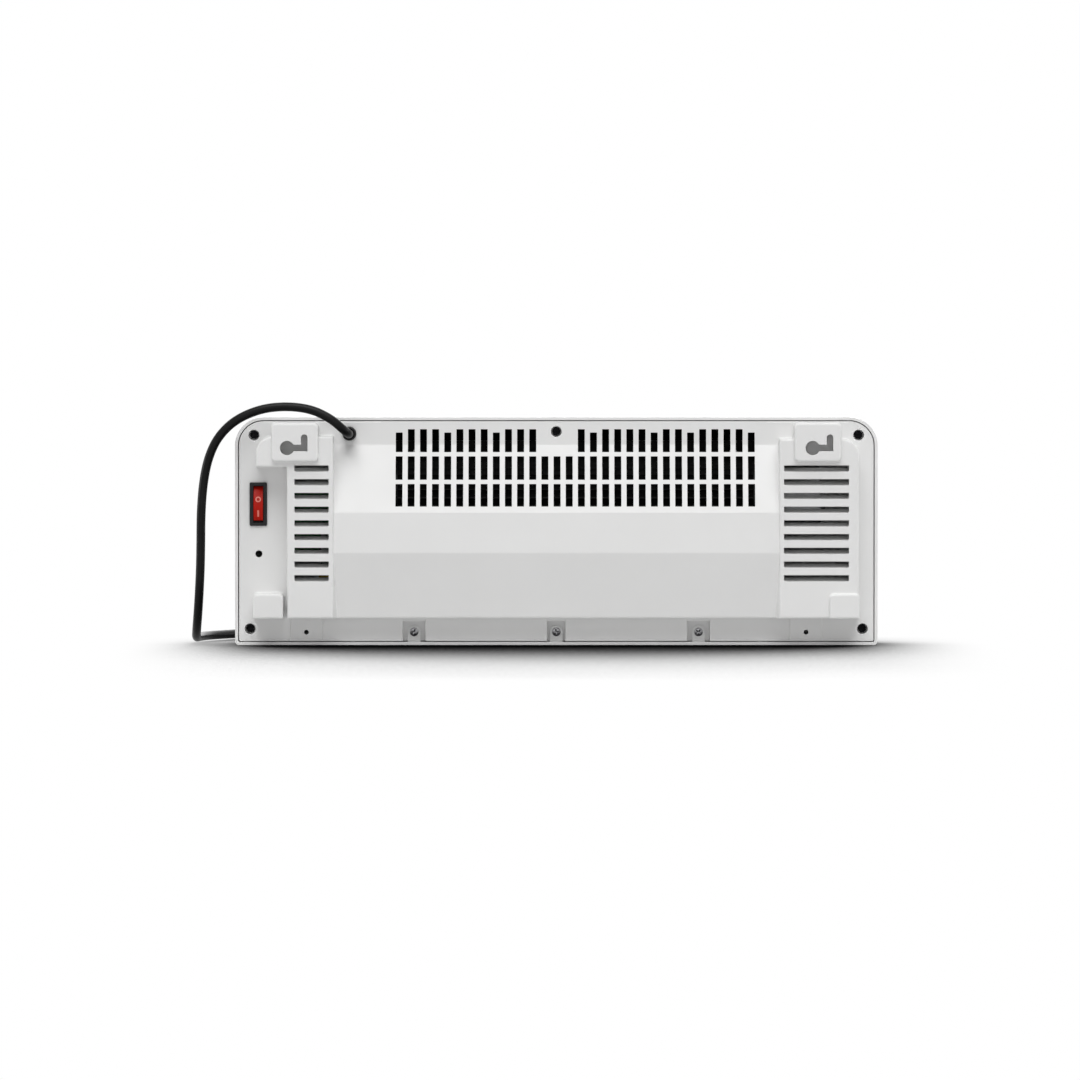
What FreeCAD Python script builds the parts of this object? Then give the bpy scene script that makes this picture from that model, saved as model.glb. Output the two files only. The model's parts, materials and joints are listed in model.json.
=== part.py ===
import FreeCAD, Part
import math
import os

# Electric wall fan heater. Front faces -Y, wall side faces +Y, +Z is up, millimetres.
# The origin lies under the middle of the body, on the surface that it stands on.

# Overall size
body_width = 540.0
body_height = 191.5
body_depth = 122.0
wall_standoff = 32.0
overrun = 2.0
tiny = 0.001

# Clearances
cover_gap = 0.8
seat_gap = 0.2
screw_gap = 0.1
shaft_gap = 0.05
moving_gap = 0.4

# Front casing
casing_wall = 2.5
side_radius = 24.0
brow_radius = 60.0
nose_drop = 79.5
front_bow_setback = 30.643
base_run = 43.0
base_edge_radius = 3.0
base_edge_inner_radius = 1.5
post_radius = 4.5
boss_radius = 3.2

# Outlet, flap and outlet grille, measured along and across the outlet's slope
outlet_height = 64.0
outlet_bow = 2.0
opening_side = 98.0
opening_top_margin = 5.0
sill_notch = 12.0
cheek_gap = 1.0
cheek_wall = 2.5
switch_cheek_height = 110.0
motor_cheek_height = 74.0
cheek_rear_gap = 7.1
flap_wall = 2.4
flap_gap = 1.2
flap_low = 3.0
flap_pivot_run = 8.0
flap_pivot_depth = 9.0
flap_arm_run = 30.0
flap_arm_wall = 3.0
flap_hub_radius = 5.0
flap_pin_radius = 2.5
flap_bush_wall = 1.5
flap_bush_flange = 1.5
grille_low = 10.0
grille_top_margin = 10.4
grille_depth = 20.0
grille_wall = 3.0
grille_border = 3.5
grille_slat = 1.6
grille_slats = 27
grille_bars = 2

# Flap motor
flap_motor_radius = 12.0
flap_motor_length = 18.0
flap_motor_offset = 8.0
flap_motor_gap = 1.5
flap_motor_ear_length = 26.0
flap_motor_ear_width = 6.0
flap_motor_ear_wall = 1.0
flap_motor_boss_radius = 4.4
flap_shaft_radius = 2.5
flap_shaft_seat = 2.0

# Rear cover
cover_wall = 2.5
cover_inset = 0.4
cover_foot_radius = 1.5
edge_round = 1.0
bulge_side = 83.0
bulge_top_drop = 23.1
bulge_shoulder_drop = 79.5
bulge_shoulder_rise = 24.0
bulge_crest_share = 0.618
bulge_crest_rise = 26.5
bulge_toe_height = 23.5
bulge_toe_rise = 17.5
column_rise = 27.5
column_top_drop = 17.8
column_flare = 10.0
switch_column_side = 44.5
motor_column_side = 16.6
column_corner_radius = 14.0
shelf_side = 18.5
shelf_top_drop = 15.5
shelf_height = 25.6
column_join_radius = 4.0
column_slot_height = 5.3
column_slot_pitch = 11.5
column_slot_first = 54.4
column_slot_rest = 2.0
column_slot_margin = 3.7
switch_slot_end = 6.1
motor_slot_end = 8.3
column_slot_corner_radius = 1.5
column_lip_run = 9.0
column_lip_rise = 3.0
column_lip_wall = 1.4

# Intake grid in the rear cover
grid_switch_side = 55.0
grid_motor_side = 23.2
grid_pitch = 10.2
grid_slot_width = 5.8
grid_top_drop = 10.1
grid_short_drop = 12.9
grid_top_row = 19.2
grid_middle_row = 19.5
grid_low_row = 18.7
grid_bar = 3.5
grid_short_columns = (1, 5, 9, 17, 22, 25, 30)
grid_blind_reach = 15.0

# Wall pads and keyholes
pad_side = 31.7
pad_width = 38.8
pad_top_drop = 4.3
pad_height = 32.1
pad_wall = 3.0
pad_pocket = 12.0
pad_corner_radius = 3.5
foot_pad_side = 16.0
foot_pad_width = 25.0
foot_pad_top = 44.0
keyhole_side = 50.0
keyhole_shift = 5.4
keyhole_lift = 11.3
keyhole_radius = 6.0
keyhole_slot = 5.5
keyhole_run = 14.4
keyhole_rise = 11.4

# Screws that close the casing
screw_radius = 1.5
screw_length = 14.0
screw_head_radius = 3.4
screw_head_height = 2.3
cross_width = 0.9
cross_length = 4.2
cross_depth = 1.2
well_radius = 4.55
well_wall = 1.95
well_depth = 14.0
well_floor = 2.5
upper_well_side = 16.0
upper_well_drop = 15.0
lower_well_side = 12.6
lower_well_z = 13.6
middle_well_drop = 12.1

# Lugs along the base, strips and small holes
lug_x = 119.6
lug_recess_width = 19.2
lug_middle_recess_width = 15.6
lug_recess_top = 20.2
lug_recess_depth = 6.0
lug_recess_wall = 2.2
lug_width = 10.7
lug_wall = 2.5
lug_hole_height = 10.8
lug_head_radius = 3.6
lug_boss_radius = 3.5
lug_boss_length = 11.0
strip_side = 46.5
strip_width = 27.0
strip_rise = 0.8
strip_hole_radius = 2.0
side_hole_side = 20.0
side_hole_share = 0.58
side_hole_radius = 2.95
side_hole_depth = 10.0

# Rocker switch
switch_side = 19.6
switch_drop = 31.9
switch_width = 14.6
switch_length = 36.5
switch_bezel = 1.8
switch_corner_radius = 1.0
switch_edge_radius = 0.6
switch_body_width = 13.0
switch_body_length = 33.6
switch_body_depth = 22.0
switch_well_width = 8.7
switch_well_length = 31.0
switch_well_depth = 12.0
rocker_width = 7.9
rocker_length = 28.6
rocker_proud = 2.6
rocker_crown_radius = 26.0
rocker_pivot_depth = 6.0
rocker_skirt = 3.0
rocker_pin_radius = 1.4
rocker_tilt_deg = 8.0
blade_wall = 0.8
blade_width = 6.3
blade_length = 9.0
blade_spread = 10.0

# Cable grommet
grommet_side = 96.1
grommet_drop = 13.8
grommet_head_radius = 5.85
grommet_head = 3.0
grommet_nose_radius = 4.8
grommet_nose = 9.4
grommet_neck_radius = 5.0
grommet_lock_radius = 6.4
grommet_lock = 5.0

# Blower
blower_y = 6.0
blower_height_share = 0.6475
wheel_gap = 4.0
wheel_end_gap = 2.5
wheel_disc = 2.0
wheel_bays = 5
wheel_blades = 26
blade_ring_depth = 7.0
blade_thickness = 1.1
blade_lean_deg = 28.0
blade_camber = 1.6
wheel_hub_radius = 7.0
wheel_hub_length = 16.0
shaft_radius = 3.0
shaft_reach = 15.0

# Duct around the blower
duct_motor_side = 100.0
duct_bearing_side = 132.0
duct_end_wall = 2.5
duct_wall = 2.0
duct_margin = 5.5
scroll_start_shares = (0.907, 0.606)
scroll_belly_shares = (0.815, 0.345)
duct_shoulder_shares = (0.76, 0.8355)
duct_brow_shares = (0.336, 0.877)
tongue_tip_shares = (0.281, 0.6005)
shaft_hole_radius = 10.0
tongue_gap = 1.7
tongue_head_drop = 21.5
tongue_neck_drop = 41.5
tongue_screw_drop = 31.5
tongue_screw_margin = 20.0
tongue_foot_gap = 0.4

# Bearing at the free end of the blower
bearing_flange_radius = 14.0
bearing_flange = 3.0
bearing_boss_radius = 9.0
bearing_length = 12.0
bush_radius = 6.0

# Blower motor
motor_margin = 4.0
motor_length = 38.0
motor_stand = 12.0
motor_flange_margin = 1.0
motor_flange = 2.0
motor_nose_radius = 8.0
motor_nose = 5.0
motor_cap_radius = 12.0
motor_cap = 4.0
bracket_ring_margin = 2.0
bracket_wall = 3.0
bracket_leg_margin = 3.5
bracket_leg_radius = 4.5
bracket_legs = 3
bracket_first_deg = 90.0

# Heater pack, across and along the air stream
pack_height_share = 0.3916
pack_gap = 3.0
pack_lean_deg = 24.0
pack_depth = 16.0
pack_cap = 6.0
pack_rail = 2.0
pack_fin_height = 10.0
pack_plate = 3.6
pack_fin_pitch = 6.0
pack_fin_wall = 1.1
pack_tab_wall = 0.8
pack_tab_width = 6.3
pack_tab_length = 12.0
cutout_shares = (0.649, 0.4805)
cutout_radius = 8.0
cutout_height = 6.0
cutout_tab_length = 7.0
cutout_tab_spread = 7.0

# Power board on the switch-side cheek
board_wall = 1.6
board_stand = 8.0
power_board_front_gap = 5.5
power_board_rear_gap = 3.0
power_board_low_z = 36.0
power_board_drop = 6.0
board_screw_margin = 5.0
relay_width = 15.5
relay_length = 19.0
relay_height = 15.5
relay_inset = 11.0
relay_z = 56.0
relay_pitch = 22.0
capacitor_width = 9.0
capacitor_length = 18.0
capacitor_height = 15.0
capacitor_z = 54.0
terminal_width = 12.0
terminal_length = 30.0
terminal_height = 13.0
terminal_inset = 11.0
terminal_z = 80.0
terminal_poles = 3
terminal_screw_radius = 1.9
terminal_screw_depth = 3.0

# Display and keys on the front
window_side = 30.0
window_width = 54.0
window_rise = 15.0
window_height = 23.0
window_corner_radius = 4.0
window_gap = 0.15
key_pitch = 20.0
key_rise = 20.0
key_radius = 5.5
key_proud = 0.8
key_collar_radius = 7.0
key_collar = 1.5
key_stem_radius = 1.6
key_dish = 0.6
display_board_margin = 7.0
display_board_foot = 12.0
display_board_head = 10.0
display_board_stand = 13.2
tact_width = 6.0
tact_height = 4.0
digits_length = 40.0
digits_width = 14.0
digits_height = 8.0

# Mains cord, coil, tie and plug; the floor run and the coil lie in front of the body
cord_diameter = 7.5
cord_lift = 1.2
coil_x = 208.0
coil_y = -136.0
coil_radius = 48.0
coil_pitch = 8.2
coil_turns = 4.25
coil_lead = 14.0
coil_step_deg = 0.01
bend_share = 0.45
tail_lead = 15.0
tail_rise = 22.0
tail_end = 22.5
tie_width = 12.0
tie_wall = 0.8
tie_gap = 0.35
tie_turn_deg = 225.0
plug_relief_radius = 5.2
plug_relief_length = 24.0
plug_neck_radius = 9.0
plug_swell_share = 0.75
plug_shoulder_length = 18.0
plug_face_radius = 18.5
plug_face_length = 18.0
plug_flat = 15.5
plug_pin_radius = 2.4
plug_pin_length = 19.0
plug_pin_spacing = 19.0
plug_clip_width = 8.0
plug_clip_wall = 0.8
plug_clip_length = 15.0

# Worked out from the sizes above
half_width = body_width / 2
nose_height = body_height - nose_drop
front_bow_radius = (nose_height ** 2 + front_bow_setback ** 2) / (2 * front_bow_setback)
opening_half_width = half_width - opening_side
wall_y = body_depth / 2
nose_y = -body_depth / 2
rim_y = wall_y - wall_standoff
sill_y = rim_y - base_run
flange_y = rim_y - cover_inset
flange_in_y = flange_y - cover_wall
cover_half_width = half_width - casing_wall - cover_gap
cover_bottom = casing_wall + cover_gap
cover_top = body_height - casing_wall - cover_gap
column_y = flange_y + column_rise
well_seat_y = flange_y - well_depth
post_end_y = well_seat_y - well_floor - seat_gap
cheek_in = opening_half_width + cheek_gap
cheek_out = cheek_in + cheek_wall
cheek_back_y = flange_in_y - cheek_rear_gap
bulge_half_width = half_width - bulge_side
bulge_top = body_height - bulge_top_drop
bulge_shoulder_height = body_height - bulge_shoulder_drop
bulge_crest_height = bulge_toe_height + bulge_crest_share * (bulge_shoulder_height - bulge_toe_height)
column_top = body_height - column_top_drop
switch_column_far = half_width - switch_column_side
motor_column_far = half_width - motor_column_side
shelf_far = half_width - shelf_side
shelf_top = body_height - shelf_top_drop
shelf_bottom = shelf_top - shelf_height
pad_far = half_width - pad_side
pad_near = pad_far - pad_width
pad_top = body_height - pad_top_drop
pad_bottom = pad_top - pad_height
foot_pad_far = half_width - foot_pad_side
foot_pad_near = foot_pad_far - foot_pad_width
column_slot_room = pad_bottom - column_slot_rest - column_slot_first - column_slot_height
column_slots = int(column_slot_room / column_slot_pitch) + 1
grid_first = bulge_half_width - grid_switch_side
grid_columns = round((grid_first + bulge_half_width - grid_motor_side) / grid_pitch) + 1
grid_top_row_high = body_height - grid_top_drop
grid_top_row_short = body_height - grid_short_drop
grid_top_row_low = grid_top_row_high - grid_top_row
grid_middle_row_high = grid_top_row_low - grid_bar
grid_middle_row_low = grid_middle_row_high - grid_middle_row
grid_low_row_high = grid_middle_row_low - grid_bar
grid_low_row_low = grid_low_row_high - grid_low_row
keyhole_reach = half_width - keyhole_side
keyhole_height = pad_bottom + keyhole_lift
upper_well_x = half_width - upper_well_side
upper_well_z = body_height - upper_well_drop
lower_well_x = half_width - lower_well_side
middle_well_z = body_height - middle_well_drop
strip_far = half_width - strip_side
strip_near = strip_far - strip_width
strip_hole_x = (strip_near + strip_far) / 2
switch_x = half_width - switch_side
switch_z = shelf_bottom - switch_drop
side_hole_x = half_width - side_hole_side
side_hole_z = foot_pad_top + side_hole_share * (switch_z - switch_length / 2 - foot_pad_top)
grommet_x = half_width - grommet_side
grommet_z = body_height - grommet_drop
window_high_x = half_width - window_side
window_low_x = window_high_x - window_width
key_x = (window_low_x + window_high_x) / 2
key_z = outlet_height + key_rise
window_low_z = key_z + window_rise
window_high_z = window_low_z + window_height
display_board_low_x = window_low_x - display_board_margin
display_board_high_x = window_high_x + display_board_margin
display_board_low_z = key_z - display_board_foot
display_board_high_z = window_high_z + display_board_head
duct_low = duct_motor_side - half_width
duct_high = half_width - duct_bearing_side
wheel_low = duct_low + wheel_end_gap
wheel_high = duct_high - wheel_end_gap
duct_low_out = duct_low - duct_end_wall
duct_high_out = duct_high + duct_end_wall
cord_radius = cord_diameter / 2
keyhole_places = (keyhole_shift + keyhole_reach, keyhole_shift - keyhole_reach)
well_places = (
    (upper_well_x, upper_well_z),
    (-upper_well_x, upper_well_z),
    (lower_well_x, lower_well_z),
    (-lower_well_x, lower_well_z),
    (0, middle_well_z),
)
lug_places = (
    (lug_x, lug_recess_width),
    (-lug_x, lug_recess_width),
    (0, lug_middle_recess_width),
)

# Route of the cord from the grommet's nose to the coil, chosen by hand
cord_route = (
    (173.9, 41.0, 177.7),
    (173.9, 50.0, 177.7),
    (179.6, 55.6, 182.8),
    (188.4, 56.0, 190.6),
    (204.8, 54.6, 198.8),
    (225.6, 53.2, 201.4),
    (247.4, 51.6, 199.2),
    (268.6, 50.0, 190.2),
    (283.2, 48.6, 176.2),
    (291.6, 47.2, 158.8),
    (296.0, 46.0, 138.0),
    (298.0, 45.2, 113.0),
    (298.2, 44.6, 88.0),
    (298.6, 44.1, 66.0),
    (299.6, 43.2, 45.0),
    (301.0, 36.4, 26.7),
    (302.6, 22.3, 12.6),
    (303.6, 3.9, 5.1),
    (302.0, -17.0, 4.95),
    (295.5, -38.5, 5.0),
    (283.5, -57.5, 4.95),
    (270.0, -75.5, 5.0),
    (260.4, -95.2, 4.95),
)

x_axis = FreeCAD.Vector(1, 0, 0)
y_axis = FreeCAD.Vector(0, 1, 0)
z_axis = FreeCAD.Vector(0, 0, 1)


def vector(x, y, z):
    return FreeCAD.Vector(x, y, z)


def box(x_span, y_span, z_span):
    spans = [sorted(span) for span in (x_span, y_span, z_span)]
    sizes = [high - low for low, high in spans]
    return Part.makeBox(*sizes, vector(*[low for low, high in spans]))


def rod(start, axis, radius, length):
    return Part.makeCylinder(radius, length, start, axis)


def prism(points, x_low, x_high):
    corners = [vector(x_low, y, z) for y, z in points]
    face = Part.Face(Part.makePolygon(corners + corners[:1]))
    return face.extrude(x_axis * (x_high - x_low))


def is_along(edge, axis):
    ends = [vertex.Point for vertex in edge.Vertexes]
    if len(ends) < 2:
        return False
    return (ends[1] - ends[0]).cross(axis).Length < tiny


def is_on_y(edge, y):
    return all(abs(vertex.Y - y) < tiny for vertex in edge.Vertexes)


def rounded(solid, radius, chosen):
    return solid.makeFillet(radius, [edge for edge in solid.Edges if chosen(edge)])


def rounded_block(x_span, y_span, z_span, radius, axis):
    return rounded(box(x_span, y_span, z_span), radius, lambda edge: is_along(edge, axis))


def screw(seat, axis, length, head_radius):
    head = rod(seat, axis, head_radius, screw_head_height)
    shank = rod(seat, axis * -1, screw_radius, length)
    side = x_axis if abs(axis.y) > abs(axis.x) else y_axis
    other = axis.cross(side)
    body = head.fuse(shank)
    for first, second in ((side, other), (other, side)):
        reach = first * (cross_length / 2) + second * (cross_width / 2)
        low = seat + axis * (screw_head_height - cross_depth) - reach
        high = seat + axis * (screw_head_height + overrun) + reach
        body = body.cut(box((low.x, high.x), (low.y, high.y), (low.z, high.z)))
    return body


# Front casing

def front_y(height):
    drop = max(nose_height - height, 0)
    return nose_y + front_bow_radius - math.sqrt(front_bow_radius ** 2 - drop ** 2)


def brow_inner_y(height):
    rise = max(height - body_height + brow_radius, 0)
    return nose_y + brow_radius - math.sqrt((brow_radius - casing_wall) ** 2 - rise ** 2)


sill = (sill_y, 0)
lintel = (front_y(outlet_height), outlet_height)
slope_length = math.hypot(lintel[0] - sill[0], lintel[1] - sill[1])
along_slope = ((lintel[0] - sill[0]) / slope_length, (lintel[1] - sill[1]) / slope_length)
out_of_slope = (-along_slope[1], along_slope[0])
slope_radius = (slope_length ** 2 / 4 + outlet_bow ** 2) / (2 * outlet_bow)
grille_high = slope_length - grille_top_margin
display_board_y = front_y(key_z) + display_board_stand


def on_slope(run, depth):
    return (
        sill[0] + along_slope[0] * run - out_of_slope[0] * depth,
        sill[1] + along_slope[1] * run - out_of_slope[1] * depth,
    )


def slope_cylinder(depth):
    centre_y, centre_z = on_slope(slope_length / 2, slope_radius - outlet_bow)
    start = vector(-half_width - overrun, centre_y, centre_z)
    return rod(start, x_axis, slope_radius - depth, body_width + 2 * overrun)


def casing_block(inset, back_y, base_radius):
    half = half_width - inset
    front = nose_y + inset
    top = body_height - inset
    brow = brow_radius - inset
    bow = front_bow_radius - inset
    low_y = front + bow - math.sqrt(bow ** 2 - (nose_height - inset) ** 2)
    mid_angle = math.asin((nose_height - inset) / bow) / 2
    bow_mid = vector(-half, front + bow - bow * math.cos(mid_angle), nose_height - bow * math.sin(mid_angle))
    foot = vector(-half, low_y, inset)
    nose = vector(-half, front, nose_height)
    brow_start = vector(-half, front, top - brow)
    lean = brow * math.sqrt(2) / 2
    brow_mid = vector(-half, front + brow - lean, top - brow + lean)
    brow_end = vector(-half, front + brow, top)
    back_top = vector(-half, back_y, top)
    back_foot = vector(-half, back_y, inset)
    edges = [
        Part.Arc(foot, bow_mid, nose).toShape(),
        Part.makeLine(nose, brow_start),
        Part.Arc(brow_start, brow_mid, brow_end).toShape(),
        Part.makeLine(brow_end, back_top),
        Part.makeLine(back_top, back_foot),
        Part.makeLine(back_foot, foot),
    ]
    block = Part.Face(Part.Wire(edges)).extrude(x_axis * (2 * half))

    def is_side_edge(edge):
        middle = edge.valueAt((edge.FirstParameter + edge.LastParameter) / 2)
        at_side = abs(abs(middle.x) - half) < tiny
        return at_side and middle.y < back_y - tiny and middle.z > inset + tiny

    block = rounded(block, side_radius - inset, is_side_edge)
    block = block.common(slope_cylinder(inset))

    def is_base_edge(edge):
        middle = edge.valueAt((edge.FirstParameter + edge.LastParameter) / 2)
        at_side = abs(abs(middle.x) - half) < tiny
        return at_side and abs(middle.z - inset) < tiny and is_along(edge, y_axis)

    return rounded(block, base_radius, is_base_edge)


casing_outer = casing_block(0, rim_y, base_edge_radius)
casing_inner = casing_block(casing_wall, rim_y + overrun, base_edge_inner_radius)


def front_post(x, z, radius, end_y):
    return rod(vector(x, nose_y - overrun, z), y_axis, radius, end_y - nose_y + overrun)


def cheek(side, height):
    outline = (
        (cheek_back_y, 0),
        (nose_y - overrun, 0),
        (nose_y - overrun, height),
        (cheek_back_y, height),
    )
    return prism(outline, side * cheek_in, side * cheek_out)


def outlet_cut():
    inner_lintel = on_slope(slope_length - opening_top_margin, casing_wall + overrun)
    outer_lintel = on_slope(slope_length - opening_top_margin, -outlet_bow - overrun)
    outline = (
        (sill_y + sill_notch, -overrun),
        (sill_y + sill_notch, casing_wall + overrun),
        inner_lintel,
        outer_lintel,
        (nose_y - overrun, -overrun),
    )
    return prism(outline, -opening_half_width, opening_half_width)


def lug(x):
    back = flange_y - lug_recess_depth + seat_gap
    tab = box((x - lug_width / 2, x + lug_width / 2), (back, back + lug_wall), (casing_wall / 2, lug_hole_height))
    arch = rod(vector(x, back, lug_hole_height), y_axis, lug_width / 2, lug_wall)
    hole = rod(vector(x, back - overrun, lug_hole_height), y_axis, screw_radius + screw_gap, lug_wall + 2 * overrun)
    return tab.fuse(arch).cut(hole)


def key_places():
    return [key_x + key_pitch * step for step in (-1, 0, 1)]


def display_posts():
    low_x = display_board_low_x + board_screw_margin
    high_x = display_board_high_x - board_screw_margin
    low_z = display_board_low_z + board_screw_margin
    high_z = display_board_high_z - board_screw_margin
    return [(low_x, low_z), (high_x, low_z), (low_x, high_z), (high_x, high_z)]


def window_block(gap):
    return rounded_block(
        (window_low_x + gap, window_high_x - gap),
        (nose_y - overrun, display_board_y - digits_height / 2),
        (window_low_z + gap, window_high_z - gap),
        window_corner_radius - gap,
        y_axis,
    )


flap_pivot = on_slope(flap_pivot_run, flap_pivot_depth)


def front_casing():
    posts = [front_post(x, z, post_radius, post_end_y) for x, z in well_places]
    posts += [front_post(x, z, boss_radius, display_board_y) for x, z in display_posts()]
    for x in (tongue_screw_low, tongue_screw_high):
        posts.append(front_post(x, tongue_screw_z, post_radius, tongue_head_y - duct_wall))
    posts += [cheek(1, switch_cheek_height), cheek(-1, motor_cheek_height)]
    inside = [post.common(casing_outer) for post in posts]
    shell = casing_outer.cut(casing_inner)
    shell = shell.fuse(inside + [lug(x) for x, width in lug_places])
    hole_radius = screw_radius + screw_gap
    cuts = [outlet_cut(), window_block(0)]
    for x, z in well_places:
        start = vector(x, post_end_y - screw_length, z)
        cuts.append(rod(start, y_axis, hole_radius, screw_length + overrun))
    for x, z in display_posts():
        start = vector(x, display_board_y - screw_length / 2, z)
        cuts.append(rod(start, y_axis, hole_radius, screw_length / 2 + overrun))
    for x in (tongue_screw_low, tongue_screw_high):
        start = vector(x, tongue_head_y - duct_wall - screw_length / 2, tongue_screw_z)
        cuts.append(rod(start, y_axis, hole_radius, screw_length / 2 + overrun))
    for x in key_places():
        start = vector(x, nose_y - overrun, key_z)
        cuts.append(rod(start, y_axis, key_radius + moving_gap, 2 * casing_wall + 2 * overrun))
    bush_start = vector(cheek_in - overrun, *flap_pivot)
    cuts.append(rod(bush_start, x_axis, flap_pin_radius + flap_bush_wall + seat_gap, cheek_wall + 2 * overrun))
    motor_start = vector(-cheek_out - overrun, *flap_pivot)
    cuts.append(rod(motor_start, x_axis, flap_motor_boss_radius + seat_gap, cheek_wall + 2 * overrun))
    for y, z in power_board_places():
        start = vector(cheek_in - overrun, y, z)
        cuts.append(rod(start, x_axis, hole_radius, cheek_wall + 2 * overrun))
    return shell.cut(cuts)


# Rear cover

def inset_outline(points, distance):
    moved = []
    count = len(points)
    for index in range(count):
        before = points[index - 1]
        here = points[index]
        after = points[(index + 1) % count]
        first = (here[0] - before[0], here[1] - before[1])
        second = (after[0] - here[0], after[1] - here[1])
        first_length = math.hypot(*first)
        second_length = math.hypot(*second)
        first_normal = (-first[1] / first_length, first[0] / first_length)
        second_normal = (-second[1] / second_length, second[0] / second_length)
        share = distance / (1 + first_normal[0] * second_normal[0] + first_normal[1] * second_normal[1])
        moved.append((
            here[0] + share * (first_normal[0] + second_normal[0]),
            here[1] + share * (first_normal[1] + second_normal[1]),
        ))
    return moved


def bulge_outline(start_y):
    return (
        (start_y, bulge_toe_height),
        (flange_y + bulge_toe_rise, bulge_toe_height),
        (flange_y + bulge_crest_rise, bulge_crest_height),
        (flange_y + bulge_shoulder_rise, bulge_shoulder_height),
        (flange_y, bulge_top),
        (start_y, bulge_top),
    )


def cover_plate():
    plate = box((-cover_half_width, cover_half_width), (flange_in_y, flange_y), (cover_bottom, cover_top))
    middle = (cover_bottom + cover_top) / 2
    top_radius = side_radius - casing_wall - cover_gap

    def is_corner(edge, upper):
        return is_along(edge, y_axis) and (edge.Vertexes[0].Z > middle) == upper

    plate = rounded(plate, top_radius, lambda edge: is_corner(edge, True))
    return rounded(plate, cover_foot_radius, lambda edge: is_along(edge, y_axis) and is_corner(edge, False))


def raised_block(x_span, z_span, top_y, inset, corner_radius, is_round):
    low_x, high_x = sorted(x_span)
    low_z, high_z = z_span
    start_y = flange_in_y - (overrun if inset else 0)
    x_part = (low_x + inset, high_x - inset)
    block = box(x_part, (start_y, top_y - inset), (low_z + inset, high_z - inset))
    middle_x = (low_x + high_x) / 2
    middle_z = (low_z + high_z) / 2

    def is_chosen(edge):
        if not is_along(edge, y_axis):
            return False
        point = edge.Vertexes[0]
        return is_round(math.copysign(1, point.X - middle_x), math.copysign(1, point.Z - middle_z))

    block = rounded(block, corner_radius - inset / 2, is_chosen)
    if inset:
        return block
    return rounded(block, edge_round, lambda edge: is_on_y(edge, top_y))


def raised_blocks(inset):
    columns = (bulge_toe_height, column_top)
    shelf = (shelf_bottom, shelf_top)
    pads = (pad_bottom, pad_top)
    feet = (bulge_toe_height, foot_pad_top)
    deep = inset * pad_wall / cover_wall
    blocks = [
        raised_block((bulge_half_width, switch_column_far), columns, column_y, inset, column_join_radius,
                     lambda x, z: x > 0 and z > 0),
        raised_block((bulge_half_width, shelf_far), shelf, column_y, inset, column_corner_radius,
                     lambda x, z: x > 0 and z > 0),
        raised_block((-bulge_half_width, -motor_column_far), columns, column_y, inset, column_corner_radius,
                     lambda x, z: x < 0 and z > 0),
    ]
    for side in (1, -1):
        blocks.append(raised_block((side * pad_near, side * pad_far), pads, wall_y, deep, pad_corner_radius,
                                   lambda x, z: True))
        blocks.append(raised_block((side * foot_pad_near, side * foot_pad_far), feet, wall_y, deep,
                                   pad_corner_radius, lambda x, z: z > 0))
    return blocks


def column_flares():
    flares = []
    for side in (1, -1):
        corners = [
            vector(side * bulge_half_width, flange_in_y, bulge_toe_height),
            vector(side * (bulge_half_width - column_flare), flange_in_y, bulge_toe_height),
            vector(side * bulge_half_width, column_y - edge_round, bulge_toe_height),
        ]
        face = Part.Face(Part.makePolygon(corners + corners[:1]))
        flares.append(face.extrude(z_axis * (bulge_crest_height - bulge_toe_height)))
    return flares


def grid_slots():
    slots = []
    for column in range(1, grid_columns + 1):
        x = grid_first - (column - 1) * grid_pitch
        x_span = (x - grid_slot_width / 2, x + grid_slot_width / 2)
        rows = [(grid_middle_row_low, grid_middle_row_high), (grid_low_row_low, grid_low_row_high)]
        if abs(x) > grid_blind_reach:
            high = grid_top_row_short if column in grid_short_columns else grid_top_row_high
            rows.append((grid_top_row_low, high))
        for z_span in rows:
            slots.append(box(x_span, (flange_in_y - overrun, column_y), z_span))
    return slots


def column_slot_spans():
    return (
        (bulge_half_width + column_slot_margin, switch_column_far - switch_slot_end),
        (-motor_column_far + motor_slot_end, -bulge_half_width - column_slot_margin),
    )


def column_slot_heights():
    return [column_slot_first + step * column_slot_pitch for step in range(column_slots)]


def column_slot_cuts():
    y_span = (column_y - cover_wall - overrun, column_y + overrun)
    slots = []
    for low in column_slot_heights():
        for x_span in column_slot_spans():
            slot = box(x_span, y_span, (low, low + column_slot_height))
            slots.append(rounded(slot, column_slot_corner_radius,
                                 lambda edge: is_along(edge, y_axis) and abs(edge.Vertexes[0].Z - low) < tiny))
    return slots


def column_slot_lips():
    wall_in_y = column_y - cover_wall
    lips = []
    for low in column_slot_heights():
        outline = (
            (wall_in_y + cover_wall / 2, low - column_lip_wall),
            (wall_in_y + cover_wall / 2, low),
            (wall_in_y, low),
            (wall_in_y - column_lip_run, low + column_lip_rise),
            (wall_in_y - column_lip_run, low + column_lip_rise - column_lip_wall),
            (wall_in_y, low - column_lip_wall),
        )
        lips += [prism(outline, *x_span) for x_span in column_slot_spans()]
    return lips


def keyhole_cut(x):
    back = wall_y - pad_wall - overrun
    depth = pad_wall + 2 * overrun
    half = keyhole_slot / 2
    y_span = (back, back + depth)
    hang_x = x - keyhole_run
    hang_z = keyhole_height + keyhole_rise - half
    entry = rod(vector(x, back, keyhole_height), y_axis, keyhole_radius, depth)
    across = box((hang_x - half, x), y_span, (keyhole_height - half, keyhole_height + half))
    up = box((hang_x - half, hang_x + half), y_span, (keyhole_height - half, hang_z))
    top = rod(vector(hang_x, back, hang_z), y_axis, half, depth)
    return entry.fuse([across, up, top])


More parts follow.
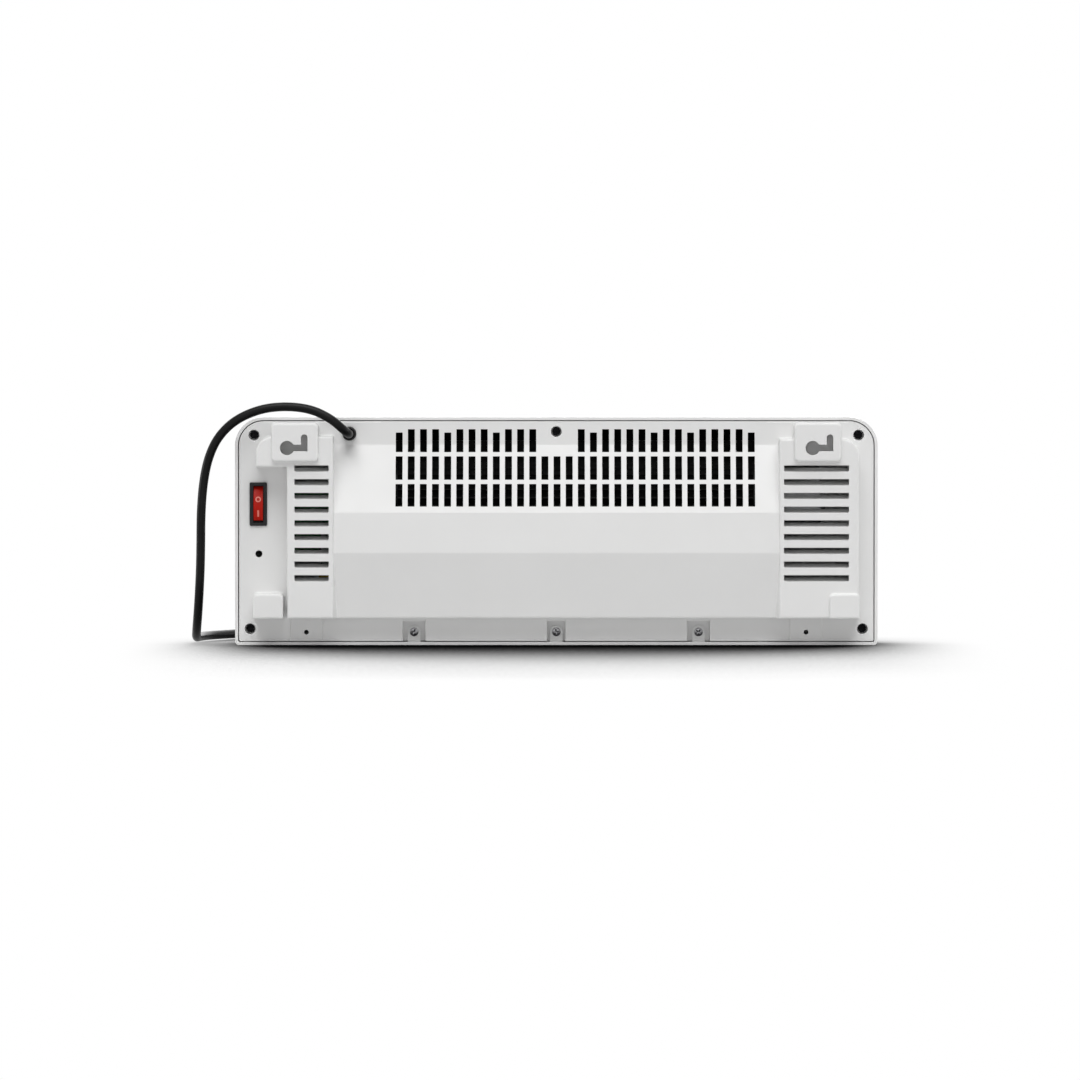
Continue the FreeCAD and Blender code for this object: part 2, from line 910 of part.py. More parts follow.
def lug_recess(x, width, wall):
    low = cover_bottom if wall else 0
    back = flange_y - lug_recess_depth - wall
    front = flange_y if wall else flange_y + overrun
    half = width / 2 + wall
    return box((x - half, x + half), (back, front), (low, lug_recess_top + wall))


def rear_cover():
    bulge = prism(bulge_outline(flange_in_y), -bulge_half_width, bulge_half_width)
    solids = [bulge] + raised_blocks(0) + column_flares()
    for side in (1, -1):
        strip = (flange_in_y, flange_y + strip_rise)
        solids.append(box((side * strip_near, side * strip_far), strip, (cover_bottom, bulge_toe_height)))
    outer = cover_plate().fuse(solids)
    hollow = inset_outline(bulge_outline(flange_in_y - cover_wall - overrun), cover_wall)
    reach = bulge_half_width + cover_wall + overrun
    hollows = [prism(hollow, -reach, reach)] + raised_blocks(cover_wall)
    cover = outer.cut(hollows)
    added = []
    for x, z in well_places:
        start = vector(x, well_seat_y - well_floor, z)
        added.append(rod(start, y_axis, well_radius + well_wall, flange_in_y - start.y + overrun / 2))
    for x, width in lug_places:
        added.append(lug_recess(x, width, lug_recess_wall))
        start = vector(x, flange_y - lug_recess_depth - lug_boss_length, lug_hole_height)
        added.append(rod(start, y_axis, lug_boss_radius, lug_boss_length))
    for side in (1, -1):
        pocket_y = wall_y - pad_wall - pad_pocket
        z_span = (pad_bottom + pad_wall / 2, pad_top - pad_wall / 2)
        x_span = (side * (pad_near + pad_wall / 2), side * (pad_far - pad_wall / 2))
        added.append(box(x_span, (pocket_y - cover_wall, pocket_y), z_span))
    cover = cover.fuse(added)
    cuts = grid_slots() + column_slot_cuts() + [keyhole_cut(x) for x in keyhole_places]
    hole_radius = screw_radius + screw_gap
    for x, z in well_places:
        cuts.append(rod(vector(x, well_seat_y, z), y_axis, well_radius, well_depth + overrun))
        cuts.append(rod(vector(x, well_seat_y - well_floor - overrun, z), y_axis, hole_radius, well_depth))
    for x, width in lug_places:
        cuts.append(lug_recess(x, width, 0))
        start = vector(x, flange_y - lug_recess_depth - lug_boss_length - overrun, lug_hole_height)
        cuts.append(rod(start, y_axis, hole_radius, lug_boss_length + 2 * overrun))
    for side in (1, -1):
        start = vector(side * strip_hole_x, flange_in_y - overrun, lug_hole_height)
        cuts.append(rod(start, y_axis, strip_hole_radius, cover_wall + strip_rise + 2 * overrun))
    side_hole = vector(side_hole_x, flange_in_y - overrun, side_hole_z)
    cuts.append(rod(side_hole, y_axis, side_hole_radius, cover_wall + 2 * overrun))
    half_width_cut = switch_body_width / 2 + seat_gap
    half_length_cut = switch_body_length / 2 + seat_gap
    cuts.append(box(
        (switch_x - half_width_cut, switch_x + half_width_cut),
        (flange_in_y - overrun, flange_y + overrun),
        (switch_z - half_length_cut, switch_z + half_length_cut),
    ))
    gland = vector(grommet_x, flange_in_y - overrun, grommet_z)
    cuts.append(rod(gland, y_axis, grommet_neck_radius + seat_gap, cover_wall + 2 * overrun))
    return cover.cut(cuts).fuse(column_slot_lips())


def casing_screws():
    seats = [vector(x, well_seat_y, z) for x, z in well_places]
    return [screw(seat, y_axis, screw_length, screw_head_radius) for seat in seats]


def lug_screws():
    seat_y = flange_y - lug_recess_depth + seat_gap + lug_wall
    seats = [vector(x, seat_y, lug_hole_height) for x, width in lug_places]
    return [screw(seat, y_axis, lug_boss_length, lug_head_radius) for seat in seats]


# Rocker switch

rocker_pivot = vector(switch_x, flange_y + switch_bezel - rocker_pivot_depth, switch_z)


def switch_body():
    def span(size):
        return (switch_x - size / 2, switch_x + size / 2)

    def rise(size):
        return (switch_z - size / 2, switch_z + size / 2)

    front = flange_y + switch_bezel
    bezel = rounded_block(span(switch_width), (flange_y, front), rise(switch_length), switch_corner_radius, y_axis)
    bezel = rounded(bezel, switch_edge_radius, lambda edge: is_on_y(edge, front))
    back = flange_y - switch_body_depth
    body = box(span(switch_body_width), (back, flange_y), rise(switch_body_length))
    well = box(span(switch_well_width), (front - switch_well_depth, front + overrun), rise(switch_well_length))
    pin = rod(rocker_pivot - x_axis * (switch_body_width / 2), x_axis, rocker_pin_radius + moving_gap / 2,
              switch_body_width)
    return bezel.fuse(body).cut([well, pin])


def switch_terminals():
    back = flange_y - switch_body_depth
    blades = []
    for x_step in (-1, 1):
        for z_step in (-1, 1):
            x = switch_x + x_step * switch_body_width / 4
            z = switch_z + z_step * blade_spread
            blades.append(box((x - blade_wall / 2, x + blade_wall / 2), (back - blade_length, back),
                              (z - blade_width / 2, z + blade_width / 2)))
    return blades


def switch_rocker():
    half = rocker_length / 2
    crown_y = rocker_pivot_depth + rocker_proud
    sag = rocker_crown_radius - math.sqrt(rocker_crown_radius ** 2 - half ** 2)
    low_x = switch_x - rocker_width / 2
    pivot = rocker_pivot

    def place(y, z):
        return vector(low_x, pivot.y + y, pivot.z + z)

    heel = place(-rocker_skirt, 0)
    edges = [
        Part.Arc(place(crown_y - sag, -half), place(crown_y, 0), place(crown_y - sag, half)).toShape(),
        Part.makeLine(place(crown_y - sag, half), place(0, half)),
        Part.makeLine(place(0, half), heel),
        Part.makeLine(heel, place(0, -half)),
        Part.makeLine(place(0, -half), place(crown_y - sag, -half)),
    ]
    body = Part.Face(Part.Wire(edges)).extrude(x_axis * rocker_width)
    pin_length = (switch_well_width + switch_body_width) / 2
    pin = rod(vector(switch_x - pin_length / 2, pivot.y, pivot.z), x_axis, rocker_pin_radius, pin_length)
    body = body.fuse(pin)
    body.rotate(pivot, x_axis, rocker_tilt_deg)
    return body


# Cable grommet

def cable_grommet():
    base = vector(grommet_x, flange_y, grommet_z)
    head = rod(base, y_axis, grommet_head_radius, grommet_head)
    nose_start = base + y_axis * grommet_head
    nose = Part.makeCone(grommet_head_radius, grommet_nose_radius, grommet_nose, nose_start, y_axis)
    neck = rod(base - y_axis * cover_wall, y_axis, grommet_neck_radius, cover_wall)
    lock = rod(base - y_axis * (cover_wall + grommet_lock), y_axis, grommet_lock_radius, grommet_lock)
    return head.fuse([nose, neck, lock])


# Blower wheel, shaft and bearing; places inside the casing are shares of its depth and of the body's height

room_front_y = nose_y + casing_wall
room_back_y = flange_y + bulge_shoulder_rise - cover_wall


def in_room(shares):
    return (room_front_y + shares[0] * (room_back_y - room_front_y), shares[1] * body_height)


scroll_start_y, scroll_start_z = in_room(scroll_start_shares)
scroll_belly_y, scroll_belly_z = in_room(scroll_belly_shares)
duct_shoulder_y, duct_shoulder_z = in_room(duct_shoulder_shares)
duct_brow_y, duct_brow_z = in_room(duct_brow_shares)
tongue_tip_y, tongue_tip_z = in_room(tongue_tip_shares)
cutout_y, cutout_z = in_room(cutout_shares)
tongue_head_z = body_height - tongue_head_drop
tongue_head_y = brow_inner_y(tongue_head_z) + tongue_gap + duct_wall
tongue_neck_z = body_height - tongue_neck_drop
tongue_screw_z = body_height - tongue_screw_drop
tongue_screw_low = duct_low + tongue_screw_margin
tongue_screw_high = duct_high - tongue_screw_margin
blower_z = blower_height_share * body_height
wheel_radius = blower_y - tongue_tip_y - wheel_gap
motor_radius = wheel_radius - motor_margin
motor_flange_radius = wheel_radius - motor_flange_margin
bracket_ring_radius = wheel_radius + bracket_ring_margin
bracket_leg_circle = wheel_radius + bracket_leg_margin


def wheel_blade(turn_deg):
    inner = wheel_radius - blade_ring_depth
    outer = wheel_radius - blade_thickness / 2
    lean = math.radians(blade_lean_deg)
    start = (inner, 0)
    end = (outer * math.cos(lean / 2), outer * math.sin(lean / 2))
    middle = ((start[0] + end[0]) / 2, (start[1] + end[1]) / 2)
    length = math.hypot(end[0] - start[0], end[1] - start[1])
    side = (-(end[1] - start[1]) / length, (end[0] - start[0]) / length)
    half = blade_thickness / 2

    def place(point, offset):
        return vector(wheel_low, blower_y + point[0] + side[0] * offset, blower_z + point[1] + side[1] * offset)

    edges = [
        Part.Arc(place(start, half), place(middle, blade_camber + half), place(end, half)).toShape(),
        Part.makeLine(place(end, half), place(end, -half)),
        Part.Arc(place(end, -half), place(middle, blade_camber - half), place(start, -half)).toShape(),
        Part.makeLine(place(start, -half), place(start, half)),
    ]
    blade = Part.Face(Part.Wire(edges)).extrude(x_axis * (wheel_high - wheel_low))
    blade.rotate(vector(wheel_low, blower_y, blower_z), x_axis, turn_deg)
    return blade


def blower_wheel():
    blades = [wheel_blade(step * 360 / wheel_blades) for step in range(wheel_blades)]
    bay = (wheel_high - wheel_low - wheel_disc) / wheel_bays
    discs = []
    for step in range(wheel_bays + 1):
        start = vector(wheel_low + bay * step, blower_y, blower_z)
        disc = rod(start, x_axis, wheel_radius, wheel_disc)
        if 0 < step < wheel_bays:
            disc = disc.cut(rod(start, x_axis, wheel_radius - blade_ring_depth - blade_thickness, wheel_disc))
        discs.append(disc)
    hub = rod(vector(wheel_low, blower_y, blower_z), x_axis, wheel_hub_radius, wheel_hub_length)
    stub_start = vector(wheel_high - wheel_disc, blower_y, blower_z)
    stub_length = duct_high_out + bearing_length - stub_start.x
    stub = rod(stub_start, x_axis, shaft_radius, stub_length)
    wheel = discs[0].fuse(discs[1:] + blades + [hub, stub])
    bore = rod(vector(wheel_low - overrun, blower_y, blower_z), x_axis, shaft_radius + screw_gap,
               wheel_hub_length - wheel_disc + overrun)
    return wheel.cut(bore)


def motor_shaft():
    start = vector(wheel_low + wheel_hub_length - wheel_disc, blower_y, blower_z)
    end_x = duct_low_out - motor_stand - shaft_reach
    return rod(start, x_axis * -1, shaft_radius, start.x - end_x)


def bearing_holder():
    start = vector(duct_high_out, blower_y, blower_z)
    flange = rod(start, x_axis, bearing_flange_radius, bearing_flange)
    boss = rod(start, x_axis, bearing_boss_radius, bearing_length)
    bore = rod(start - x_axis * overrun, x_axis, bush_radius + shaft_gap, bearing_length + 2 * overrun)
    return flange.fuse(boss).cut(bore)


def bearing_bush():
    start = vector(duct_high_out, blower_y, blower_z)
    bush = rod(start, x_axis, bush_radius, bearing_length)
    return bush.cut(rod(start - x_axis * overrun, x_axis, shaft_radius + shaft_gap, bearing_length + 2 * overrun))


# Duct

grille_back = grille_depth + grille_wall
duct_mouth_low = on_slope(grille_low, grille_back + seat_gap)
duct_mouth_high = on_slope(grille_high, grille_back + seat_gap)
tongue_foot = on_slope(grille_high, grille_back + seat_gap + tongue_foot_gap)


def arc_strip(start, belly, end, wall, x_low, x_high):
    inner_edge = Part.Arc(*[vector(x_low, y, z) for y, z in (start, belly, end)]).toShape()
    centre = inner_edge.Curve.Center
    grown = (inner_edge.Curve.Radius + wall) / inner_edge.Curve.Radius
    outer_points = [centre + (vector(x_low, y, z) - centre) * grown for y, z in (end, belly, start)]
    outer_edge = Part.Arc(*outer_points).toShape()
    ends = [vector(x_low, *end), vector(x_low, *start)]
    edges = [
        inner_edge,
        Part.makeLine(ends[0], outer_points[0]),
        outer_edge,
        Part.makeLine(outer_points[2], ends[1]),
    ]
    return Part.Face(Part.Wire(edges)).extrude(x_axis * (x_high - x_low))


def duct_end(x_low, x_high):
    outline = (
        on_slope(grille_low - duct_margin, grille_back + seat_gap),
        (scroll_belly_y + duct_wall + duct_margin, scroll_belly_z),
        (scroll_start_y + duct_margin, scroll_start_z),
        (duct_shoulder_y, duct_shoulder_z),
        (duct_brow_y, duct_brow_z),
        (tongue_head_y, tongue_neck_z),
        (tongue_head_y, duct_mouth_high[1]),
        duct_mouth_high,
    )
    return prism(outline, x_low, x_high)


def duct_scroll():
    wall = arc_strip(
        (scroll_start_y, scroll_start_z), (scroll_belly_y, scroll_belly_z), duct_mouth_low,
        duct_wall, duct_low, duct_high,
    )
    scroll = wall.fuse([duct_end(duct_low_out, duct_low), duct_end(duct_high, duct_high_out)])
    cuts = []
    for x in (duct_low_out, duct_high):
        start = vector(x - overrun, blower_y, blower_z)
        cuts.append(rod(start, x_axis, shaft_hole_radius, duct_end_wall + 2 * overrun))
    for centre in pack_tab_places():
        cuts.append(pack_bar(centre, pack_tab_width / 2 + moving_gap, pack_tab_wall / 2 + moving_gap,
                             duct_high - overrun, duct_high_out + overrun))
    for y, z in bracket_places():
        start = vector(duct_low_out - overrun, y, z)
        cuts.append(rod(start, x_axis, screw_radius + screw_gap, duct_end_wall + 2 * overrun))
    return scroll.cut(cuts)


def duct_tongue():
    foot = tongue_foot
    middle = (
        (tongue_head_y, tongue_head_z),
        (tongue_head_y, tongue_neck_z),
        (tongue_tip_y, tongue_tip_z),
        (foot[0] + duct_wall, foot[1]),
        foot,
        (tongue_tip_y - duct_wall, tongue_tip_z),
        (tongue_head_y - duct_wall, tongue_neck_z),
        (tongue_head_y - duct_wall, tongue_head_z),
    )
    tongue = prism(middle, duct_low + seat_gap, duct_high - seat_gap)
    holes = []
    for x in (tongue_screw_low, tongue_screw_high):
        start = vector(x, tongue_head_y - duct_wall - overrun, tongue_screw_z)
        holes.append(rod(start, y_axis, screw_radius + screw_gap, duct_wall + 2 * overrun))
    return tongue.cut(holes)


def duct_screws():
    seats = [vector(x, tongue_head_y, tongue_screw_z) for x in (tongue_screw_low, tongue_screw_high)]
    return [screw(seat, y_axis, screw_length / 2, screw_head_radius) for seat in seats]


# Blower motor

motor_face = duct_low_out - motor_stand


def bracket_places():
    places = []
    for step in range(bracket_legs):
        turn = math.radians(bracket_first_deg + step * 360 / bracket_legs)
        places.append((blower_y + bracket_leg_circle * math.cos(turn),
                       blower_z + bracket_leg_circle * math.sin(turn)))
    return places


def motor_housing():
    centre = vector(motor_face, blower_y, blower_z)
    back = x_axis * -1
    flange = rod(centre - x_axis * bracket_wall, back, motor_flange_radius, motor_flange)
    can = rod(centre, back, motor_radius, motor_length)
    nose = rod(centre, x_axis, motor_nose_radius, motor_nose)
    cap = rod(centre - x_axis * motor_length, back, motor_cap_radius, motor_cap)
    can = rounded(can, motor_flange, lambda edge: abs(edge.Vertexes[0].X - motor_face + motor_length) < tiny)
    housing = can.fuse([flange, nose, cap])
    bore = rod(centre + x_axis * (motor_nose + overrun), back, shaft_radius + shaft_gap,
               motor_nose + shaft_reach + 2 * overrun)
    return housing.cut(bore)


def motor_bracket():
    centre = vector(motor_face, blower_y, blower_z)
    ring = rod(centre, x_axis * -1, bracket_ring_radius, bracket_wall)
    parts = []
    for y, z in bracket_places():
        parts.append(rod(vector(duct_low_out, y, z), x_axis * -1, bracket_leg_radius, motor_stand + bracket_wall))
    bracket = ring.fuse(parts)
    cuts = [rod(centre + x_axis * overrun, x_axis * -1, motor_radius + seat_gap, bracket_wall + 2 * overrun)]
    for y, z in bracket_places():
        start = vector(duct_low_out + overrun, y, z)
        cuts.append(rod(start, x_axis * -1, screw_radius + screw_gap, motor_stand))
    return bracket.cut(cuts)


def motor_screws():
    seats = [vector(duct_low, y, z) for y, z in bracket_places()]
    return [screw(seat, x_axis, screw_length / 2, screw_head_radius) for seat in seats]


# Heater pack

pack_lean = math.radians(pack_lean_deg)
pack_across = (math.cos(pack_lean), -math.sin(pack_lean))
pack_along = (-math.sin(pack_lean), -math.cos(pack_lean))
pack_pitch = pack_fin_height + pack_plate
pack_z = pack_height_share * body_height
tongue_run = (pack_z - tongue_foot[1]) / (tongue_tip_z - tongue_foot[1])
tongue_face_y = tongue_foot[0] + duct_wall + tongue_run * (tongue_tip_y - tongue_foot[0] - duct_wall)
pack_y = (tongue_face_y + scroll_belly_y) / 2
pack_room = (scroll_belly_y - tongue_face_y) / math.cos(pack_lean) - 2 * (pack_gap + pack_rail)
pack_fin_rows = int((pack_room + pack_plate) / pack_pitch)
pack_height = pack_fin_rows * pack_pitch - pack_plate + 2 * pack_rail
pack_low = duct_low + pack_cap
pack_high = duct_high - pack_cap


def pack_place(across, along):
    return (
        pack_y + pack_across[0] * across + pack_along[0] * along,
        pack_z + pack_across[1] * across + pack_along[1] * along,
    )


def pack_bar(across, half_depth, half_height, x_low, x_high):
    outline = (
        pack_place(across - half_height, -half_depth),
        pack_place(across + half_height, -half_depth),
        pack_place(across + half_height, half_depth),
        pack_place(across - half_height, half_depth),
    )
    return prism(outline, x_low, x_high)


def pack_fin_places():
    first = -pack_height / 2 + pack_rail + pack_fin_height / 2
    return [first + step * pack_pitch for step in range(pack_fin_rows)]


def pack_tab_places():
    first = -pack_height / 2 + pack_rail + pack_fin_height + pack_plate / 2
    return [first + step * pack_pitch for step in range(pack_fin_rows - 1)]


def heater_frame():
    half = pack_height / 2
    bars = []
    for side in (-1, 1):
        bars.append(pack_bar(side * (half - pack_rail / 2), pack_depth / 2, pack_rail / 2, pack_low, pack_high))
    for low, high in ((duct_low, pack_low), (pack_high, duct_high)):
        bars.append(pack_bar(0, pack_depth / 2, half, low, high))
    return bars[0].fuse(bars[1:])


def heater_plates():
    return [pack_bar(centre, pack_depth / 2, pack_plate / 2, pack_low, pack_high) for centre in pack_tab_places()]


def fin_strip(centre):
    half = pack_fin_height / 2
    folds = int((pack_high - pack_low) / pack_fin_pitch)
    pitch = (pack_high - pack_low) / folds
    lower = []
    for step in range(folds + 1):
        height = half - pack_fin_wall if step % 2 else -half
        lower.append((pack_low + step * pitch, height))
    upper = [(x, height + pack_fin_wall) for x, height in lower]
    corners = []
    for x, height in lower + upper[::-1]:
        y, z = pack_place(centre + height, -pack_depth / 2)
        corners.append(vector(x, y, z))
    face = Part.Face(Part.makePolygon(corners + corners[:1]))
    return face.extrude(vector(0, pack_along[0] * pack_depth, pack_along[1] * pack_depth))


def heater_fins():
    return [fin_strip(centre) for centre in pack_fin_places()]


def heater_terminals():
    half_width_tab = pack_tab_width / 2
    return [
        pack_bar(centre, half_width_tab, pack_tab_wall / 2, duct_high, duct_high + pack_tab_length)
        for centre in pack_tab_places()
    ]


def thermal_cutout():
    start = vector(duct_high_out, cutout_y, cutout_z)
    can = rod(start, x_axis, cutout_radius, cutout_height)
    tabs = []
    for side in (-1, 1):
        y = cutout_y + side * cutout_tab_spread / 2
        x = duct_high_out + cutout_height
        tabs.append(box((x, x + cutout_tab_length), (y - blade_wall / 2, y + blade_wall / 2),
                        (cutout_z - blade_width / 2, cutout_z + blade_width / 2)))
    return can.fuse(tabs)


# Outlet grille, flap and flap motor

def slope_bar(run_low, run_high, depth_low, depth_high, x_low, x_high):
    outline = (
        on_slope(run_low, depth_low),
        on_slope(run_high, depth_low),
        on_slope(run_high, depth_high),
        on_slope(run_low, depth_high),
    )
    return prism(outline, x_low, x_high)


def outlet_grille():
    half = cheek_in - seat_gap
    inner = half - grille_border
    slab = slope_bar(grille_low, grille_high, grille_depth, grille_back, -half, half)
    low = grille_low + grille_border
    high = grille_high - grille_border
    frame = slab.cut(slope_bar(low, high, grille_depth - overrun, grille_back + overrun, -inner, inner))
    bars = []
    pitch = 2 * inner / (grille_slats + 1)
    for step in range(grille_slats):
        x = -inner + pitch * (step + 1)
        bars.append(slope_bar(grille_low + grille_border / 2, grille_high - grille_border / 2,
                              grille_depth, grille_back, x - grille_slat / 2, x + grille_slat / 2))
    for step in range(grille_bars):
        run = low + (high - low) * (step + 1) / (grille_bars + 1)
        bars.append(slope_bar(run - grille_slat / 2, run + grille_slat / 2, grille_depth, grille_back,
                              -half + grille_border / 2, half - grille_border / 2))
    return frame.fuse(bars)


def swing_flap():
    half = opening_half_width - flap_gap
    high = slope_length - opening_top_margin - flap_gap
    skin = slope_cylinder(0).cut(slope_cylinder(flap_wall))
    panel = skin.common(slope_bar(flap_low, high, flap_wall + overrun, -outlet_bow - overrun, -half, half))
    arm_outline = (
        on_slope(flap_low, flap_wall / 2),
        on_slope(flap_low + flap_arm_run, flap_wall / 2),
        on_slope(flap_pivot_run + flap_hub_radius / 2, flap_pivot_depth + flap_hub_radius / 2),
        on_slope(flap_pivot_run - flap_hub_radius / 2, flap_pivot_depth + flap_hub_radius / 2),
    )
    parts = []
    for x in (-half, -flap_arm_wall / 2, half - flap_arm_wall):
        parts.append(prism(arm_outline, x, x + flap_arm_wall))
        parts.append(rod(vector(x, *flap_pivot), x_axis, flap_hub_radius, flap_arm_wall))
    pin = rod(vector(half - flap_arm_wall, *flap_pivot), x_axis, flap_pin_radius,
              cheek_out - half + flap_arm_wall)
    flap = panel.fuse(parts + [pin])
    bore = rod(vector(-half - overrun, *flap_pivot), x_axis, flap_shaft_radius + screw_gap,
               flap_shaft_seat + overrun)
    return flap.cut(bore)


def flap_bush():
    radius = flap_pin_radius + flap_bush_wall
    start = vector(cheek_in, *flap_pivot)
    sleeve = rod(start, x_axis, radius, cheek_wall)
    collar = rod(vector(cheek_out, *flap_pivot), x_axis, radius + flap_bush_flange, flap_bush_flange)
    bore = rod(start - x_axis * overrun, x_axis, flap_pin_radius + shaft_gap,
               cheek_wall + flap_bush_flange + 2 * overrun)
    return sleeve.fuse(collar).cut(bore)


def flap_shaft():
    start = vector(-opening_half_width + flap_gap + flap_shaft_seat, *flap_pivot)
    end_x = -cheek_out - flap_motor_length / 2
    return rod(start, x_axis * -1, flap_shaft_radius, start.x - end_x)


def flap_motor():
    pivot = vector(-cheek_out, *flap_pivot)
    rise = casing_wall + flap_motor_gap + flap_motor_radius - pivot.z
    centre = pivot + vector(0, math.sqrt(flap_motor_offset ** 2 - rise ** 2), rise)
    back = x_axis * -1
    can = rod(centre, back, flap_motor_radius, flap_motor_length)
    ear = box(
        (-cheek_out - flap_motor_ear_wall, -cheek_out),
        (centre.y - flap_motor_ear_length / 2, centre.y + flap_motor_ear_length / 2),
        (centre.z - flap_motor_ear_width / 2, centre.z + flap_motor_ear_width / 2),
    )
    boss = rod(pivot, x_axis, flap_motor_boss_radius, cheek_wall)
    bore = rod(pivot + x_axis * (cheek_wall + overrun), back, flap_shaft_radius + shaft_gap,
               cheek_wall + flap_motor_length / 2 + 2 * overrun)
    return can.fuse([ear, boss]).cut(bore)


# Power board and what it carries

power_board_x = cheek_out + board_stand
power_board_slope_y = sill_y + (lintel[0] - sill_y) * power_board_low_z / outlet_height
power_board_low_y = power_board_slope_y + power_board_front_gap
power_board_high_y = cheek_back_y - power_board_rear_gap
power_board_high_z = switch_cheek_height - power_board_drop
relay_y = power_board_low_y + relay_inset
terminal_y = power_board_high_y - terminal_inset


def power_board_places():
    low_y = power_board_low_y + board_screw_margin
    high_y = power_board_high_y - board_screw_margin
    low_z = power_board_low_z + board_screw_margin
    high_z = power_board_high_z - board_screw_margin
    return [(low_y, low_z), (high_y, low_z), (low_y, high_z), (high_y, high_z)]


def power_board():
    board = box((power_board_x, power_board_x + board_wall), (power_board_low_y, power_board_high_y),
                (power_board_low_z, power_board_high_z))
    holes = []
    for y, z in power_board_places():
        start = vector(power_board_x - overrun, y, z)
        holes.append(rod(start, x_axis, screw_radius + screw_gap, board_wall + 2 * overrun))
    return board.cut(holes)


def board_spacers():
    spacers = []
    for y, z in power_board_places():
        start = vector(cheek_out, y, z)
        post = rod(start, x_axis, boss_radius, board_stand)
        hole = rod(start - x_axis * overrun, x_axis, screw_radius + screw_gap, board_stand + 2 * overrun)
        spacers.append(post.cut(hole))
    return spacers


def board_screws():
    screws = []
    for y, z in power_board_places():
        seat = vector(power_board_x + board_wall, y, z)
        screws.append(screw(seat, x_axis, board_wall + board_stand + cheek_wall, screw_head_radius))
    for x, z in display_posts():
        seat = vector(x, display_board_y + board_wall, z)
        screws.append(screw(seat, y_axis, screw_length / 2, screw_head_radius))
    return screws


def on_power_board(y, z, width, length, height):
    face = power_board_x + board_wall
    return box((face, face + height), (y - width / 2, y + width / 2), (z - length / 2, z + length / 2))


def relays():
    return [on_power_board(relay_y, relay_z + step * relay_pitch, relay_width, relay_length, relay_height)
            for step in (0, 1)]


def capacitor():
    block = on_power_board(terminal_y, capacitor_z, capacitor_width, capacitor_length, capacitor_height)
    return rounded(block, edge_round, lambda edge: is_along(edge, x_axis))


def terminal_block():
    block = on_power_board(terminal_y, terminal_z, terminal_width, terminal_length, terminal_height)
    pitch = terminal_length / terminal_poles
    top = power_board_x + board_wall + terminal_height
    wells = []
    for step in range(terminal_poles):
        z = terminal_z + (step + 1 / 2) * pitch - terminal_length / 2
        start = vector(top - terminal_screw_depth, terminal_y, z)
        wells.append(rod(start, x_axis, terminal_screw_radius, terminal_screw_depth + overrun))
    return block.cut(wells)


# Display and keys

def display_window():
    return window_block(window_gap).common(casing_outer).cut(casing_inner)


def display_board():
    board = box((display_board_low_x, display_board_high_x), (display_board_y, display_board_y + board_wall),
                (display_board_low_z, display_board_high_z))
    holes = []
    for x, z in display_posts():
        start = vector(x, display_board_y - overrun, z)
        holes.append(rod(start, y_axis, screw_radius + screw_gap, board_wall + 2 * overrun))
    return board.cut(holes)


def led_display():
    x = (window_low_x + window_high_x) / 2
    z = (window_low_z + window_high_z) / 2
    return box((x - digits_length / 2, x + digits_length / 2), (display_board_y - digits_height, display_board_y),
               (z - digits_width / 2, z + digits_width / 2))


def tact_switches():
    bodies = []
    half = tact_width / 2
    for x in key_places():
        body = box((x - half, x + half), (display_board_y - tact_height, display_board_y), (key_z - half, key_z + half))
        well = rod(vector(x, display_board_y - tact_height - overrun, key_z), y_axis, key_stem_radius + moving_gap,
                   tact_height + overrun - board_wall / 2)
        bodies.append(body.cut(well))
    return bodies


def key_cap(x):
    face_y = front_y(key_z) - key_proud
    wall_in_y = front_y(key_z) + casing_wall
    collar_y = wall_in_y + moving_gap + key_collar / 2
    stem_end = display_board_y - tact_height + key_collar
    cap = rod(vector(x, face_y, key_z), y_axis, key_radius, collar_y - face_y)
    cap = rounded(cap, key_dish, lambda edge: is_on_y(edge, face_y))
    collar = rod(vector(x, collar_y, key_z), y_axis, key_collar_radius, key_collar)
    stem = rod(vector(x, collar_y, key_z), y_axis, key_stem_radius, stem_end - collar_y)
    return cap.fuse([collar, stem])


# Mains cord, coil, tie and plug

coil_height = cord_lift + cord_radius
coil_rate = coil_pitch / (2 * math.pi)
coil_angle = coil_turns * 2 * math.pi
coil_middle = coil_angle / 2
climb = math.pi / 2


def coil_point(angle):
    offset = angle - coil_middle
    if abs(offset) >= climb:
        inward = coil_middle - abs(offset)
    else:
        inward = coil_middle - (offset ** 2 / climb + climb) / 2
    radius = coil_radius - coil_rate * inward
    part = min(max((offset + climb) / (2 * climb), 0), 1)
    height = coil_height + coil_pitch * part * part * (3 - 2 * part)
    return vector(coil_x + radius * math.cos(angle), coil_y - radius * math.sin(angle), height)


def coil_tangent(angle):
    step = math.radians(coil_step_deg)
    ahead = coil_point(angle + step) - coil_point(angle - step)
    return ahead.normalize()


def bent_arc(start, corner, end):
    middle = (start + end) * (1 / 2)
    rise = corner - middle
    half_chord = (end - start).Length / 2
    half_turn = math.atan2(rise.Length, half_chord)
    return Part.Arc(start, middle + rise.normalize() * (half_chord * math.tan(half_turn / 2)), end).toShape()


def biarc(start, start_way, end, end_way):
    gap = end - start
    ways = start_way + end_way
    turn = 2 * (1 - start_way.dot(end_way))
    lead = gap.dot(ways)
    reach = (math.sqrt(lead * lead + turn * gap.dot(gap)) - lead) / turn
    first = start + start_way * reach
    second = end - end_way * reach
    meet = (first + second) * (1 / 2)
    return [bent_arc(start, first, meet), bent_arc(meet, second, end)]


def tube(edges, start, start_way):
    spine = Part.Wire(edges)
    ring = Part.Wire(Part.makeCircle(cord_radius, start, start_way))
    solid = spine.makePipeShell([ring], True, False)
    ratio = solid.Volume / (math.pi * cord_radius ** 2 * spine.Length)
    print("tube length", round(spine.Length, 1), "volume over section times length", round(ratio, 4))
    return solid


